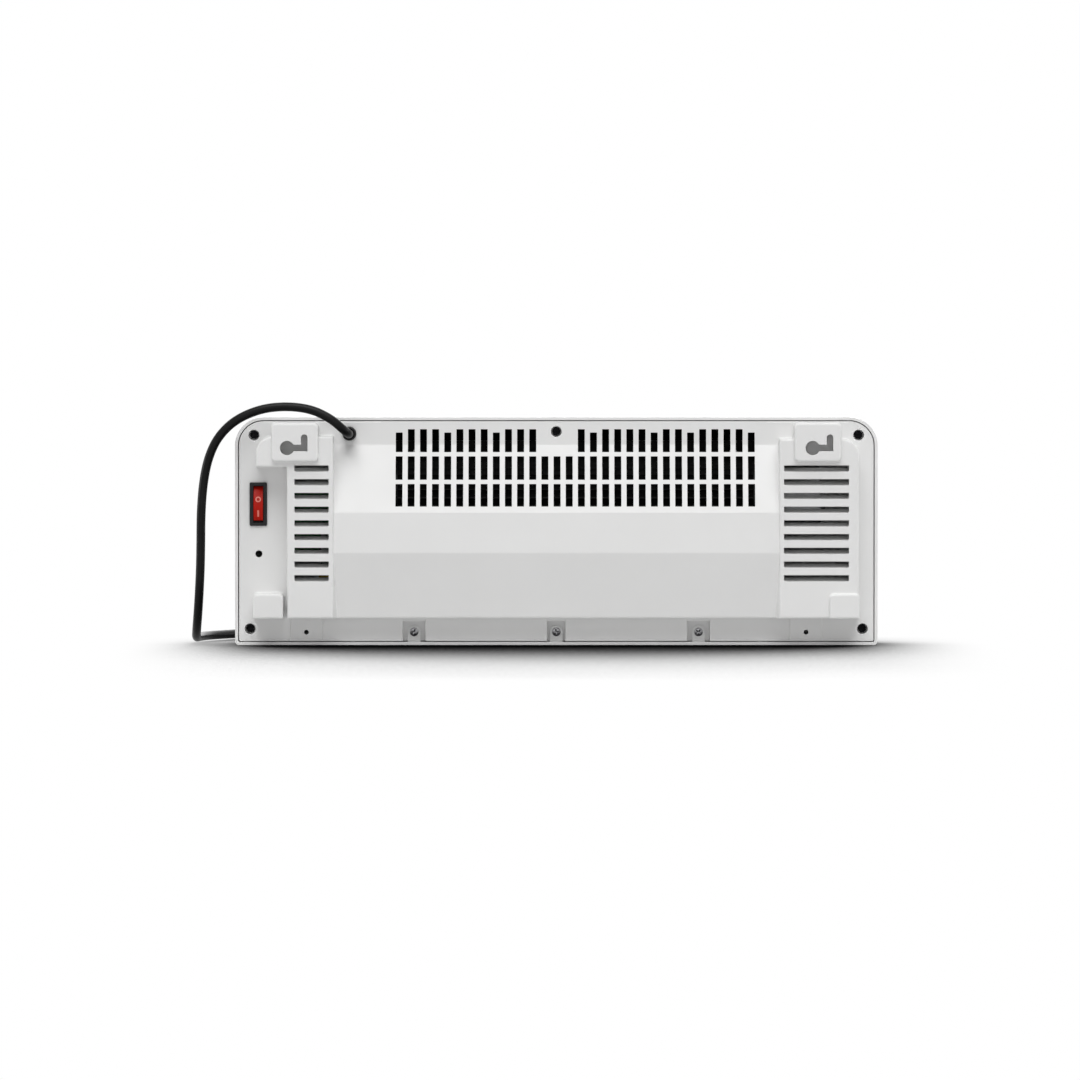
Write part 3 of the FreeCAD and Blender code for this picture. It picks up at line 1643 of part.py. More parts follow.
coil_steps = int(round(coil_turns * 4))
coil_start = coil_point(0)
coil_start_way = coil_tangent(0)
coil_end = coil_point(coil_angle)
coil_end_way = coil_tangent(coil_angle)
coil_entry = coil_start - coil_start_way * cord_diameter
coil_exit = coil_end + coil_end_way * cord_diameter


def least_coil_gap():
    per_turn = 72
    count = int(coil_turns * per_turn)
    points = [coil_point(coil_angle * step / count) for step in range(count + 1)]
    least = body_width
    for first in range(count + 1):
        for second in range(first + per_turn // 2, count + 1):
            least = min(least, (points[first] - points[second]).Length)
    return least - cord_diameter


def cord_coil():
    edges = [Part.makeLine(coil_entry, coil_start)]
    for step in range(coil_steps):
        low = coil_angle * step / coil_steps
        high = coil_angle * (step + 1) / coil_steps
        edges += biarc(coil_point(low), coil_tangent(low), coil_point(high), coil_tangent(high))
    edges.append(Part.makeLine(coil_end, coil_exit))
    print("coil gap to itself", round(least_coil_gap(), 2))
    return tube(edges, coil_entry, coil_start_way)


def route_edges(points):
    edges = []
    radii = []
    here = points[0]
    for before, point, after in zip(points, points[1:], points[2:]):
        back = before - point
        ahead = after - point
        shorter = min(back.Length, ahead.Length)
        half_turn = (math.pi - back.getAngle(ahead)) / 2
        reach = bend_share * shorter
        radii.append(round(reach / math.tan(half_turn), 1))
        start = point + back.normalize() * reach
        end = point + ahead.normalize() * reach
        edges.append(Part.makeLine(here, start))
        edges.append(bent_arc(start, point, end))
        here = end
    edges.append(Part.makeLine(here, points[-1]))
    print("cord bend radii", radii)
    return edges


def cord_run():
    points = [vector(*place) for place in cord_route]
    points += [coil_entry - coil_start_way * coil_lead, coil_entry]
    return tube(route_edges(points), points[0], y_axis)


plug_height = plug_face_radius
tail_bend = coil_exit + coil_end_way * tail_lead
tail_top = vector(tail_bend.x - tail_rise, tail_bend.y, plug_height)
plug_relief_end = tail_top - x_axis * tail_end


def cord_tail():
    points = [coil_exit, tail_bend, tail_top, plug_relief_end]
    return tube(route_edges(points), coil_exit, coil_end_way)


def cord_tie():
    turn = math.radians(tie_turn_deg)
    way = vector(math.cos(turn), -math.sin(turn), 0)
    across = z_axis.cross(way)
    angles = [turn + 2 * math.pi * step for step in range(int(coil_turns) + 1)]
    inside = [angle for angle in angles if angle <= coil_angle]
    reaches = [(coil_point(angle) - vector(coil_x, coil_y, 0)).dot(way) for angle in inside]
    heights = [coil_point(angle).z for angle in inside]
    low = min(reaches) - cord_radius - tie_gap - tie_width ** 2 / min(reaches) / 8
    high = max(reaches) + cord_radius + tie_gap
    bottom = min(heights) - cord_radius - tie_gap
    top = max(heights) + cord_radius + tie_gap

    def ring(grow):
        corners = []
        for reach, height in ((low - grow, bottom - grow), (high + grow, bottom - grow),
                              (high + grow, top + grow), (low - grow, top + grow)):
            corners.append(vector(coil_x, coil_y, 0) + way * reach + z_axis * height - across * (tie_width / 2))
        return Part.Face(Part.makePolygon(corners + corners[:1])).extrude(across * tie_width)

    return ring(tie_wall).cut(ring(0))


plug_body_end = plug_relief_end.x - plug_relief_length - plug_shoulder_length - plug_face_length


def plug_body():
    x = plug_relief_end.x
    y = plug_relief_end.y
    z = plug_height
    shoulder = x - plug_relief_length
    face = shoulder - plug_shoulder_length
    neck_top = vector(shoulder, y, z + plug_neck_radius)
    face_top = vector(face, y, z + plug_face_radius)
    swell = vector((shoulder + face) / 2, y, z + plug_neck_radius + plug_swell_share * (plug_face_radius - plug_neck_radius))
    edges = [
        Part.makeLine(vector(x, y, z), vector(x, y, z + plug_relief_radius)),
        Part.makeLine(vector(x, y, z + plug_relief_radius), neck_top),
        Part.Arc(neck_top, swell, face_top).toShape(),
        Part.makeLine(face_top, vector(plug_body_end, y, z + plug_face_radius)),
        Part.makeLine(vector(plug_body_end, y, z + plug_face_radius), vector(plug_body_end, y, z)),
        Part.makeLine(vector(plug_body_end, y, z), vector(x, y, z)),
    ]
    body = Part.Face(Part.Wire(edges)).revolve(vector(x, y, z), x_axis, 360)
    reach = plug_face_radius + overrun
    flats = []
    for side in (-1, 1):
        flats.append(box((plug_body_end - overrun, face), (y + side * plug_flat, y + side * reach),
                         (0 - overrun, z + reach)))
    return body.cut(flats)


def plug_pins():
    pins = []
    for side in (-1, 1):
        z = plug_height + side * plug_pin_spacing / 2
        start = vector(plug_body_end, plug_relief_end.y, z)
        pin = rod(start, x_axis * -1, plug_pin_radius, plug_pin_length)
        tip = plug_body_end - plug_pin_length
        pins.append(rounded(pin, plug_pin_radius / 2, lambda edge: abs(edge.Vertexes[0].X - tip) < tiny))
    return pins


def plug_clips():
    clips = []
    for side in (-1, 1):
        y = plug_relief_end.y + side * plug_flat
        clips.append(box((plug_body_end, plug_body_end + plug_clip_length), (y, y + side * plug_clip_wall),
                         (plug_height - plug_clip_width / 2, plug_height + plug_clip_width / 2)))
    return clips


# Write one file for each piece

keys = [key_cap(x) for x in key_places()]
pieces = {
    "front_casing": front_casing(),
    "rear_cover": rear_cover(),
    "casing_screws": casing_screws(),
    "lug_screws": lug_screws(),
    "switch_body": switch_body(),
    "switch_terminals": switch_terminals(),
    "switch_rocker": switch_rocker(),
    "cable_grommet": cable_grommet(),
    "blower_wheel": blower_wheel(),
    "motor_shaft": motor_shaft(),
    "bearing_holder": bearing_holder(),
    "bearing_bush": bearing_bush(),
    "duct_scroll": duct_scroll(),
    "duct_tongue": duct_tongue(),
    "duct_screws": duct_screws(),
    "motor_housing": motor_housing(),
    "motor_bracket": motor_bracket(),
    "motor_screws": motor_screws(),
    "heater_frame": heater_frame(),
    "heater_plates": heater_plates(),
    "heater_fins": heater_fins(),
    "heater_terminals": heater_terminals(),
    "thermal_cutout": thermal_cutout(),
    "outlet_grille": outlet_grille(),
    "swing_flap": swing_flap(),
    "flap_bush": flap_bush(),
    "flap_shaft": flap_shaft(),
    "flap_motor": flap_motor(),
    "power_board": power_board(),
    "board_spacers": board_spacers(),
    "board_screws": board_screws(),
    "relays": relays(),
    "capacitor": capacitor(),
    "terminal_block": terminal_block(),
    "display_window": display_window(),
    "display_board": display_board(),
    "led_display": led_display(),
    "tact_switches": tact_switches(),
    "key_power": keys[0],
    "key_mode": keys[1],
    "key_timer": keys[2],
    "cord_run": cord_run(),
    "cord_coil": cord_coil(),
    "cord_tie": cord_tie(),
    "cord_tail": cord_tail(),
    "plug_body": plug_body(),
    "plug_pins": plug_pins(),
    "plug_clips": plug_clips(),
}

os.makedirs("parts", exist_ok=True)
for name, shape in pieces.items():
    if isinstance(shape, list):
        shape = Part.makeCompound(shape)
    shape.exportStep("parts/" + name + ".step")
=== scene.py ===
import json
import math

import bmesh
import bpy
import numpy as np
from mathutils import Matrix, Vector


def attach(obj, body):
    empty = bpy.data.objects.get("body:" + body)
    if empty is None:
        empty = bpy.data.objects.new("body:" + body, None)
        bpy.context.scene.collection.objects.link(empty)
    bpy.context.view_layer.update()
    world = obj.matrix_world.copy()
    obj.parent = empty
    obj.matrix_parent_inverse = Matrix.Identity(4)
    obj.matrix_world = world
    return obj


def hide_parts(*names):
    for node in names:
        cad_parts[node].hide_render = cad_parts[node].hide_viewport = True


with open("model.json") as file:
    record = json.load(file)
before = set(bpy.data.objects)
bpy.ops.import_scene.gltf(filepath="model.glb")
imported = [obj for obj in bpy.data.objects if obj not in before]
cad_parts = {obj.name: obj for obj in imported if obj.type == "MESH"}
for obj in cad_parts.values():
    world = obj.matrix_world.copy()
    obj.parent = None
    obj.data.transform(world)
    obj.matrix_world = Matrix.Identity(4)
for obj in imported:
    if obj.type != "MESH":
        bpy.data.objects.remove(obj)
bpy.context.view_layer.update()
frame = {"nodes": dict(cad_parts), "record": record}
nodes = frame["nodes"]
scene = bpy.context.scene
scene.view_settings.view_transform = "Standard"
print("frame loaded:", len(nodes), "nodes")

camera = dict(
    target=(0.0137, 0.029, 0.0883), distance=8.0, elevation=2.0, frameWidth=0.9077, sensor=36.0, clipEnd=50.0,
)


def addCamera(c):
    data = bpy.data.cameras.new("heaterCamera")
    data.sensor_width = c["sensor"]
    data.lens = c["sensor"] * c["distance"] / c["frameWidth"]
    data.clip_end = c["clipEnd"]
    view = bpy.data.objects.new("heaterCamera", data)
    tilt = math.radians(c["elevation"])
    out = Vector((0, math.cos(tilt), math.sin(tilt)))
    view.location = Vector(c["target"]) + out * c["distance"]
    view.rotation_euler = out.to_track_quat("Z", "Y").to_euler()
    scene.collection.objects.link(view)
    scene.camera = view


addCamera(camera)

studio = dict(
    floorHalf=12.0, floorColor=(0.72, 0.72, 0.72), floorRoughness=0.9, floorGleam=0.1,
    shadeLean=30.0, shadeReach=0.6, shadeFrom=0.3, shadeTo=0.93, shadePower=3.0, endFrom=0.24, endTo=0.37,
    ambient=0.17,
)
# each sun's name, strength, azimuth from the front, elevation and size, in degrees
suns = (
    ("rearKey", 0.22, 180, 8, 36),
    ("topKey", 2.25, 180, 60, 50),
    ("leftSide", 0.9, 90, 2, 30),
    ("rightSide", 0.9, -90, 2, 30),
    ("frontFill", 1.2, -20, 14, 60),
)


def addSun(name, strength, azimuth, elevation, angle):
    data = bpy.data.lights.new(name, "SUN")
    data.energy = strength
    data.angle = math.radians(angle)
    lamp = bpy.data.objects.new(name, data)
    a, e = math.radians(azimuth), math.radians(elevation)
    out = Vector((math.sin(a) * math.cos(e), -math.cos(a) * math.cos(e), math.sin(e)))
    lamp.rotation_euler = out.to_track_quat("Z", "Y").to_euler()
    scene.collection.objects.link(lamp)


# inputs that are numbers are set on the socket, the others are linked
def mathOn(tree, operation, *values):
    work = tree.nodes.new("ShaderNodeMath")
    work.operation = operation
    for n, value in enumerate(values):
        if isinstance(value, (int, float)):
            work.inputs[n].default_value = value
        else:
            tree.links.new(value, work.inputs[n])
    return work.outputs[0]


# 1 for rays that show a surface as such: from the lens, in a reflection or through glass
def seenRay(tree):
    path = tree.nodes.new("ShaderNodeLightPath")
    value = path.outputs["Is Camera Ray"]
    for ray in ("Is Glossy Ray", "Is Transmission Ray"):
        value = mathOn(tree, "MAXIMUM", value, path.outputs[ray])
    return value


# grey paper as light; to the lens and in reflections a white glow carrying a painted shadow, darker where ambient
# occlusion leaned towards the front finds the object near
def floorPaper(s):
    mat = bpy.data.materials.new("floorPaper")
    mat.use_nodes = True
    tree = mat.node_tree
    paper = tree.nodes["Principled BSDF"]
    paper.inputs["Base Color"].default_value = (*s["floorColor"], 1)
    paper.inputs["Roughness"].default_value = s["floorRoughness"]
    paper.inputs["Specular IOR Level"].default_value = s["floorGleam"]
    # painted shadow: the glow's strength follows ambient occlusion, not the lamps
    closed = tree.nodes.new("ShaderNodeAmbientOcclusion")
    closed.inputs["Distance"].default_value = s["shadeReach"]
    lean = math.radians(s["shadeLean"])
    toward = tree.nodes.new("ShaderNodeCombineXYZ")
    toward.inputs["Y"].default_value = -math.sin(lean)
    toward.inputs["Z"].default_value = math.cos(lean)
    tree.links.new(toward.outputs[0], closed.inputs["Normal"])
    shade = tree.nodes.new("ShaderNodeMapRange")
    shade.inputs["From Min"].default_value = s["shadeFrom"]
    shade.inputs["From Max"].default_value = s["shadeTo"]
    tree.links.new(closed.outputs["AO"], shade.inputs["Value"])
    paintedShadow = mathOn(tree, "POWER", shade.outputs["Result"], s["shadePower"])
    # past the ends of the body the painted shadow fades out
    place = tree.nodes.new("ShaderNodeTexCoord")
    axes = tree.nodes.new("ShaderNodeSeparateXYZ")
    tree.links.new(place.outputs["Object"], axes.inputs[0])
    ends = tree.nodes.new("ShaderNodeMapRange")
    ends.interpolation_type = "SMOOTHSTEP"
    ends.inputs["From Min"].default_value = s["endFrom"]
    ends.inputs["From Max"].default_value = s["endTo"]
    tree.links.new(mathOn(tree, "ABSOLUTE", axes.outputs["X"]), ends.inputs["Value"])
    tree.links.new(paintedShadow, ends.inputs["To Min"])
    glow = tree.nodes.new("ShaderNodeEmission")
    tree.links.new(ends.outputs["Result"], glow.inputs["Strength"])
    both = tree.nodes.new("ShaderNodeMixShader")
    tree.links.new(seenRay(tree), both.inputs["Fac"])
    tree.links.new(paper.outputs[0], both.inputs[1])
    tree.links.new(glow.outputs[0], both.inputs[2])
    tree.links.new(both.outputs[0], tree.nodes["Material Output"].inputs["Surface"])
    return mat


def addFloor(s):
    h = s["floorHalf"]
    mesh = bpy.data.meshes.new("floor")
    mesh.from_pydata([(-h, -h, 0), (h, -h, 0), (h, h, 0), (-h, h, 0)], [], [(0, 1, 2, 3)])
    mesh.materials.append(floorPaper(s))
    floor = bpy.data.objects.new("floor", mesh)
    scene.collection.objects.link(floor)


# the sky too is white to the lens and in reflections, and dimmer as light
def addSky(s):
    world = bpy.data.worlds.new("studio")
    scene.world = world
    world.use_nodes = True
    tree = world.node_tree
    tree.nodes.clear()
    level = tree.nodes.new("ShaderNodeMapRange")
    level.inputs["To Min"].default_value = s["ambient"]
    level.inputs["To Max"].default_value = 1.0
    tree.links.new(seenRay(tree), level.inputs["Value"])
    sky = tree.nodes.new("ShaderNodeBackground")
    sky.inputs["Color"].default_value = (1, 1, 1, 1)
    tree.links.new(level.outputs["Result"], sky.inputs["Strength"])
    end = tree.nodes.new("ShaderNodeOutputWorld")
    tree.links.new(sky.outputs[0], end.inputs["Surface"])


addFloor(studio)
addSky(studio)
for sun in suns:
    addSun(*sun)
print("camera and studio placed")


def startMaterial(name, color, roughness, metallic=0.0, gleam=0.5):
    mat = bpy.data.materials.new(name)
    mat.use_nodes = True
    tree = mat.node_tree
    shader = tree.nodes["Principled BSDF"]
    shader.inputs["Base Color"].default_value = (*color, 1)
    shader.inputs["Roughness"].default_value = roughness
    shader.inputs["Metallic"].default_value = metallic
    shader.inputs["Specular IOR Level"].default_value = gleam
    place = tree.nodes.new("ShaderNodeTexCoord")
    return mat, tree, shader, place.outputs["Object"]


def noiseOn(tree, place, size, detail=3.0):
    noise = tree.nodes.new("ShaderNodeTexNoise")
    noise.inputs["Scale"].default_value = 1 / size
    noise.inputs["Detail"].default_value = detail
    tree.links.new(place, noise.inputs["Vector"])
    return noise.outputs["Fac"]


def spread(tree, value, low, high, fromLow=0.3, fromHigh=0.7):
    ranged = tree.nodes.new("ShaderNodeMapRange")
    ranged.inputs["From Min"].default_value = fromLow
    ranged.inputs["From Max"].default_value = fromHigh
    ranged.inputs["To Min"].default_value = low
    ranged.inputs["To Max"].default_value = high
    tree.links.new(value, ranged.inputs["Value"])
    return ranged.outputs["Result"]


def tinted(tree, value, first, second):
    mix = tree.nodes.new("ShaderNodeMix")
    mix.data_type = "RGBA"
    for side, color in (("A", first), ("B", second)):
        if isinstance(color, (tuple, list)):
            mix.inputs[side].default_value = (*color, 1)
        else:
            tree.links.new(color, mix.inputs[side])
    tree.links.new(value, mix.inputs["Factor"])
    return mix.outputs["Result"]


def bumpOn(tree, shader, height, distance, strength=1.0, normal=None):
    bump = tree.nodes.new("ShaderNodeBump")
    bump.inputs["Distance"].default_value = distance
    bump.inputs["Strength"].default_value = strength
    tree.links.new(height, bump.inputs["Height"])
    if normal is not None:
        tree.links.new(normal, bump.inputs["Normal"])
    tree.links.new(bump.outputs["Normal"], shader.inputs["Normal"])


# 1 inside any of the boxes (x, half width, z, half height)
def insideAny(tree, place, boxes):
    axes = tree.nodes.new("ShaderNodeSeparateXYZ")
    tree.links.new(place, axes.inputs[0])
    found = None
    for x, halfX, z, halfZ in boxes:
        inX = mathOn(tree, "COMPARE", axes.outputs["X"], x, halfX)
        inZ = mathOn(tree, "COMPARE", axes.outputs["Z"], z, halfZ)
        inBox = mathOn(tree, "MULTIPLY", inX, inZ)
        found = inBox if found is None else mathOn(tree, "MAXIMUM", found, inBox)
    return found


mould = dict(
    cloudSize=0.05, glossSize=0.012, glossDetail=4, glossLow=0.9, glossHigh=1.12,
    grainDetail=2, grainStrength=0.6, edgeSamples=6,
)


# moulded plastic: fine eroded grain, faint clouding of the colour, uneven gloss, edges eased by a small radius;
# where openings are given the edges round them keep a smaller radius, and all eased strips carry a painted highlight
def mouldedPlastic(name, color, roughness, grain, grainDepth, cloud=0.02, edge=0.0, gleam=0.5, openings=None):
    mat, tree, shader, place = startMaterial(name, color, roughness, 0.0, gleam)
    clouding = spread(tree, noiseOn(tree, place, mould["cloudSize"]), 0, 1)
    darker = [c * (1 - cloud) for c in color]
    base = tinted(tree, clouding, darker, color)
    gloss = noiseOn(tree, place, mould["glossSize"], mould["glossDetail"])
    uneven = spread(tree, gloss, roughness * mould["glossLow"], roughness * mould["glossHigh"])
    tree.links.new(uneven, shader.inputs["Roughness"])
    eased = None
    if edge:
        bevel = tree.nodes.new("ShaderNodeBevel")
        bevel.samples = mould["edgeSamples"]
        bevel.inputs["Radius"].default_value = edge
        eased = bevel.outputs["Normal"]
        if openings:
            crisp = insideAny(tree, place, openings["boxes"])
            tree.links.new(spread(tree, crisp, edge, openings["edge"], 0, 1), bevel.inputs["Radius"])
            flat = tree.nodes.new("ShaderNodeNewGeometry")
            turned = tree.nodes.new("ShaderNodeVectorMath")
            turned.operation = "DOT_PRODUCT"
            tree.links.new(eased, turned.inputs[0])
            tree.links.new(flat.outputs["Normal"], turned.inputs[1])
            # painted highlight: the eased strips are tinted paler, standing in for light caught on the rounded edges
            strip = spread(tree, turned.outputs["Value"], 1, 0, *openings["strip"])
            base = tinted(tree, strip, base, openings["paintedHighlight"])
    tree.links.new(base, shader.inputs["Base Color"])
    bumpOn(tree, shader, noiseOn(tree, place, grain, mould["grainDetail"]), grainDepth, mould["grainStrength"], eased)
    return mat


metal = dict(
    lineDetail=4, lineDepth=0.00002, lineStrength=0.5, glossLow=0.75, glossHigh=1.35,
    stainSize=0.006, stainDetail=5, stainDark=0.86,
)


# plated or drawn metal: fine lines along one axis break up the gloss
def drawnMetal(name, color, roughness, lineSize=0.0004, stretch=(1, 1, 30)):
    mat, tree, shader, place = startMaterial(name, color, roughness, 1.0)
    mapping = tree.nodes.new("ShaderNodeMapping")
    mapping.inputs["Scale"].default_value = stretch
    tree.links.new(place, mapping.inputs["Vector"])
    lines = noiseOn(tree, mapping.outputs["Vector"], lineSize * max(stretch), metal["lineDetail"])
    uneven = spread(tree, lines, roughness * metal["glossLow"], roughness * metal["glossHigh"])
    tree.links.new(uneven, shader.inputs["Roughness"])
    stain = spread(tree, noiseOn(tree, place, metal["stainSize"], metal["stainDetail"]), 0, 1)
    darker = [c * metal["stainDark"] for c in color]
    tree.links.new(tinted(tree, stain, darker, color), shader.inputs["Base Color"])
    bumpOn(tree, shader, lines, metal["lineDepth"], metal["lineStrength"])
    return mat


rubber = dict(
    dustSize=0.02, dustDetail=6, dustFrom=0.45, dustTo=0.75, dustPaler=0.004, glossSize=0.009, glossDetail=4,
    glossLow=0.85, glossHigh=1.15, grainDetail=3, grainDepth=0.00003, grainStrength=0.5,
)


# soft black sheath: fine grain, uneven gloss and dust in cloudy patches
def rubberSkin(name, color, roughness, grain=0.0006, gleam=0.3):
    mat, tree, shader, place = startMaterial(name, color, roughness, 0.0, gleam)
    patches = noiseOn(tree, place, rubber["dustSize"], rubber["dustDetail"])
    dust = spread(tree, patches, 0, 1, rubber["dustFrom"], rubber["dustTo"])
    paler = [c + rubber["dustPaler"] for c in color]
    tree.links.new(tinted(tree, dust, color, paler), shader.inputs["Base Color"])
    gloss = noiseOn(tree, place, rubber["glossSize"], rubber["glossDetail"])
    uneven = spread(tree, gloss, roughness * rubber["glossLow"], roughness * rubber["glossHigh"])
    tree.links.new(uneven, shader.inputs["Roughness"])
    fine = noiseOn(tree, place, grain, rubber["grainDetail"])
    bumpOn(tree, shader, fine, rubber["grainDepth"], rubber["grainStrength"])
    return mat


clearSkin = dict(cloudSize=0.006, roughness=0.08, waveSize=0.002, waveDetail=3, waveDepth=0.00002, waveStrength=0.4)


# glossy moulding with a clear skin
def glossSkin(name, color, roughness, coat, cloud=0.08, gleam=0.5):
    mat, tree, shader, place = startMaterial(name, color, roughness, 0.0, gleam)
    clouding = spread(tree, noiseOn(tree, place, clearSkin["cloudSize"]), 0, 1)
    darker = [c * (1 - cloud) for c in color]
    tree.links.new(tinted(tree, clouding, darker, color), shader.inputs["Base Color"])
    shader.inputs["Coat Weight"].default_value = coat
    shader.inputs["Coat Roughness"].default_value = clearSkin["roughness"]
    waves = noiseOn(tree, place, clearSkin["waveSize"], clearSkin["waveDetail"])
    bumpOn(tree, shader, waves, clearSkin["waveDepth"], clearSkin["waveStrength"])
    return mat


board = dict(roughness=0.35, runs=60, runWidth=0.05, darker=0.85, runDepth=0.00004, runStrength=0.5)


# circuit board: copper runs under solder mask, from a brick pattern turned by 45 degrees
def boardMask(name, color, copper):
    mat, tree, shader, place = startMaterial(name, color, board["roughness"])
    bricks = tree.nodes.new("ShaderNodeTexBrick")
    bricks.inputs["Scale"].default_value = board["runs"]
    bricks.inputs["Mortar Size"].default_value = board["runWidth"]
    bricks.inputs["Color1"].default_value = (*color, 1)
    bricks.inputs["Color2"].default_value = (*[c * board["darker"] for c in color], 1)
    bricks.inputs["Mortar"].default_value = (*copper, 1)
    turn = tree.nodes.new("ShaderNodeMapping")
    turn.inputs["Rotation"].default_value = (math.pi / 2, 0, math.pi / 4)
    tree.links.new(place, turn.inputs["Vector"])
    tree.links.new(turn.outputs["Vector"], bricks.inputs["Vector"])
    tree.links.new(bricks.outputs["Color"], shader.inputs["Base Color"])
    bumpOn(tree, shader, bricks.outputs["Fac"], board["runDepth"], board["runStrength"])
    return mat


white = (0.80, 0.80, 0.795)
# strip: the cosines between which an eased edge takes its painted highlight, paintedHighlight: its colour; boxes as
# for insideAny
coverOpenings = dict(
    edge=0.0006, paintedHighlight=(0.98, 0.98, 0.975), strip=(0.84, 0.995),
    boxes=(
        (-0.015, 0.162, 0.149, 0.0395),  # intake grid
        (0.2045, 0.0195, 0.1025, 0.0525), (-0.218, 0.032, 0.1025, 0.0525),  # slots of the columns
        (0.2195, 0.0145, 0.169, 0.011), (-0.22, 0.0135, 0.169, 0.011),  # keyholes
        (0.258, 0.012, 0.179, 0.011), (-0.258, 0.012, 0.179, 0.011),  # upper screw wells
        (0.2505, 0.0065, 0.0775, 0.0075),  # hole under the switch
        (0.0, 0.27, 0.01, 0.012),  # lugs and lower screw wells
    ),
)
# moulded: colour, roughness, size and depth of the grain, clouding, edge radius, gleam; metal: colour, roughness,
# size of the lines, stretch; gloss: colour, roughness, coat, clouding, gleam; rubber: colour, roughness, grain, gleam
finishes = {
    "casing_white": mouldedPlastic("casingWhite", white, 0.34, 0.0011, 0.00002, 0.015, 0.0005),
    "cover_white": mouldedPlastic("coverWhite", white, 0.5, 0.0006, 0.00003, 0.02, 0.0028, openings=coverOpenings),
    "flap_white": mouldedPlastic("flapWhite", white, 0.34, 0.0011, 0.00002, 0.015, 0.0005),
    "screw_steel": drawnMetal("zincSteel", (0.42, 0.42, 0.43), 0.35),
    "screw_black": drawnMetal("blackOxide", (0.012, 0.012, 0.013), 0.45),
    "screw_bright": drawnMetal("brightScrew", (0.3, 0.3, 0.31), 0.3),
    "shaft_steel": drawnMetal("groundSteel", (0.56, 0.56, 0.57), 0.28, 0.0003, (30, 1, 1)),
    "motor_steel": drawnMetal("drawnCan", (0.45, 0.45, 0.46), 0.38, 0.0005, (1, 30, 30)),
    "terminal_brass": drawnMetal("brassBlade", (0.74, 0.54, 0.22), 0.3),
    "bush_bronze": drawnMetal("sinteredBronze", (0.5, 0.32, 0.15), 0.5, 0.0005, (1, 1, 1)),
    "heater_aluminium": drawnMetal("bareAluminium", (0.6, 0.6, 0.61), 0.4, 0.0004, (20, 1, 1)),
    "plug_nickel": drawnMetal("nickelPin", (0.66, 0.63, 0.57), 0.22, 0.0004, (30, 1, 1)),
    "switch_black": mouldedPlastic("switchBlack", (0.006, 0.006, 0.007), 0.38, 0.0005, 0.00003, 0.2, 0.0, 0.25),
    "wheel_black": mouldedPlastic("wheelBlack", (0.005, 0.005, 0.005), 0.6, 0.0008, 0.00003, 0.2, 0.0, 0.2),
    "duct_black": mouldedPlastic("ductBlack", (0.005, 0.005, 0.005), 0.6, 0.0008, 0.00003, 0.2, 0.0, 0.2),
    "grille_black": mouldedPlastic("grilleBlack", (0.014, 0.014, 0.014), 0.5, 0.0006, 0.00003, 0.2),
    "heater_frame_brown": mouldedPlastic("heaterFrameBrown", (0.03, 0.018, 0.012), 0.55, 0.0006, 0.00003, 0.2),
    "relay_black": glossSkin("relayBlack", (0.015, 0.015, 0.018), 0.3, 0.2),
    "bush_nylon": mouldedPlastic("naturalNylon", (0.7, 0.69, 0.64), 0.45, 0.0006, 0.00002, 0.05),
    "terminal_grey": mouldedPlastic("terminalGrey", (0.3, 0.32, 0.32), 0.45, 0.0006, 0.00003, 0.05),
    "capacitor_yellow": glossSkin("capacitorYellow", (0.62, 0.4, 0.03), 0.3, 0.2),
    "cutout_ceramic": mouldedPlastic("cutoutCeramic", (0.62, 0.56, 0.47), 0.7, 0.0004, 0.00005, 0.12),
    "board_green": boardMask("boardGreen", (0.012, 0.11, 0.035), (0.05, 0.24, 0.07)),
    "window_dark": glossSkin("windowDark", (0.006, 0.006, 0.008), 0.12, 0.6),
    "display_dark": glossSkin("displayDark", (0.03, 0.03, 0.034), 0.3, 0.2),
    "key_grey": glossSkin("keyGrey", (0.36, 0.36, 0.37), 0.3, 0.3),
    "rocker_red": glossSkin("rockerRed", (0.46, 0.011, 0.004), 0.3, 0.02, 0.08, 0.1),
    "grommet_black": rubberSkin("grommetBlack", (0.002, 0.002, 0.002), 0.55, 0.0006, 0.06),
    "cord_black": rubberSkin("cordBlack", (0.002, 0.002, 0.002), 0.32, 0.0006, 0.14),
    "plug_black": rubberSkin("plugBlack", (0.007, 0.007, 0.007), 0.42),
    "tie_black": rubberSkin("tieBlack", (0.012, 0.012, 0.012), 0.6, 0.0003),
}

for part in frame["record"]["subparts"]:
    mesh = nodes[part["node"]].data
    mesh.materials.clear()
    mesh.materials.append(finishes[part["material_slot"]])
print("finishes given:", len(finishes))


# mains cord: one NURBS line out of the grommet's mouth, round the end, along the floor and into its coil
cordSizes = dict(
    diameter=0.0075, coilCentre=(0.208, -0.136), coilRadius=0.048, coilPitch=0.0082, coilTurns=4.25,
    lift=0.0012, pointsPerTurn=16, lead=0.014, tailLead=0.015, tailRise=0.022, tailEnd=0.0225, plugAxis=0.0185,
    roundSteps=6, lineSteps=8, order=3,
)
# in millimetres, from the grommet to the coil
cordRoute = [
    (173.9, 41.0, 177.7), (173.9, 50.0, 177.7), (179.6, 55.6, 182.8), (188.4, 56.0, 190.6),
    (204.8, 54.6, 198.8), (225.6, 53.2, 201.4), (247.4, 51.6, 199.2), (268.6, 50.0, 190.2),
    (283.2, 48.6, 176.2), (291.6, 47.2, 158.8), (296.0, 46.0, 138.0), (298.0, 45.2, 113.0),
    (298.2, 44.6, 88.0), (298.6, 44.1, 66.0), (299.6, 43.2, 45.0), (301.0, 36.4, 26.7),
    (302.6, 22.3, 12.6), (303.6, 3.9, 5.1), (302.0, -17.0, 4.95), (295.5, -38.5, 5.0),
    (283.5, -57.5, 4.95), (270.0, -75.5, 5.0), (260.4, -95.2, 4.95),
]


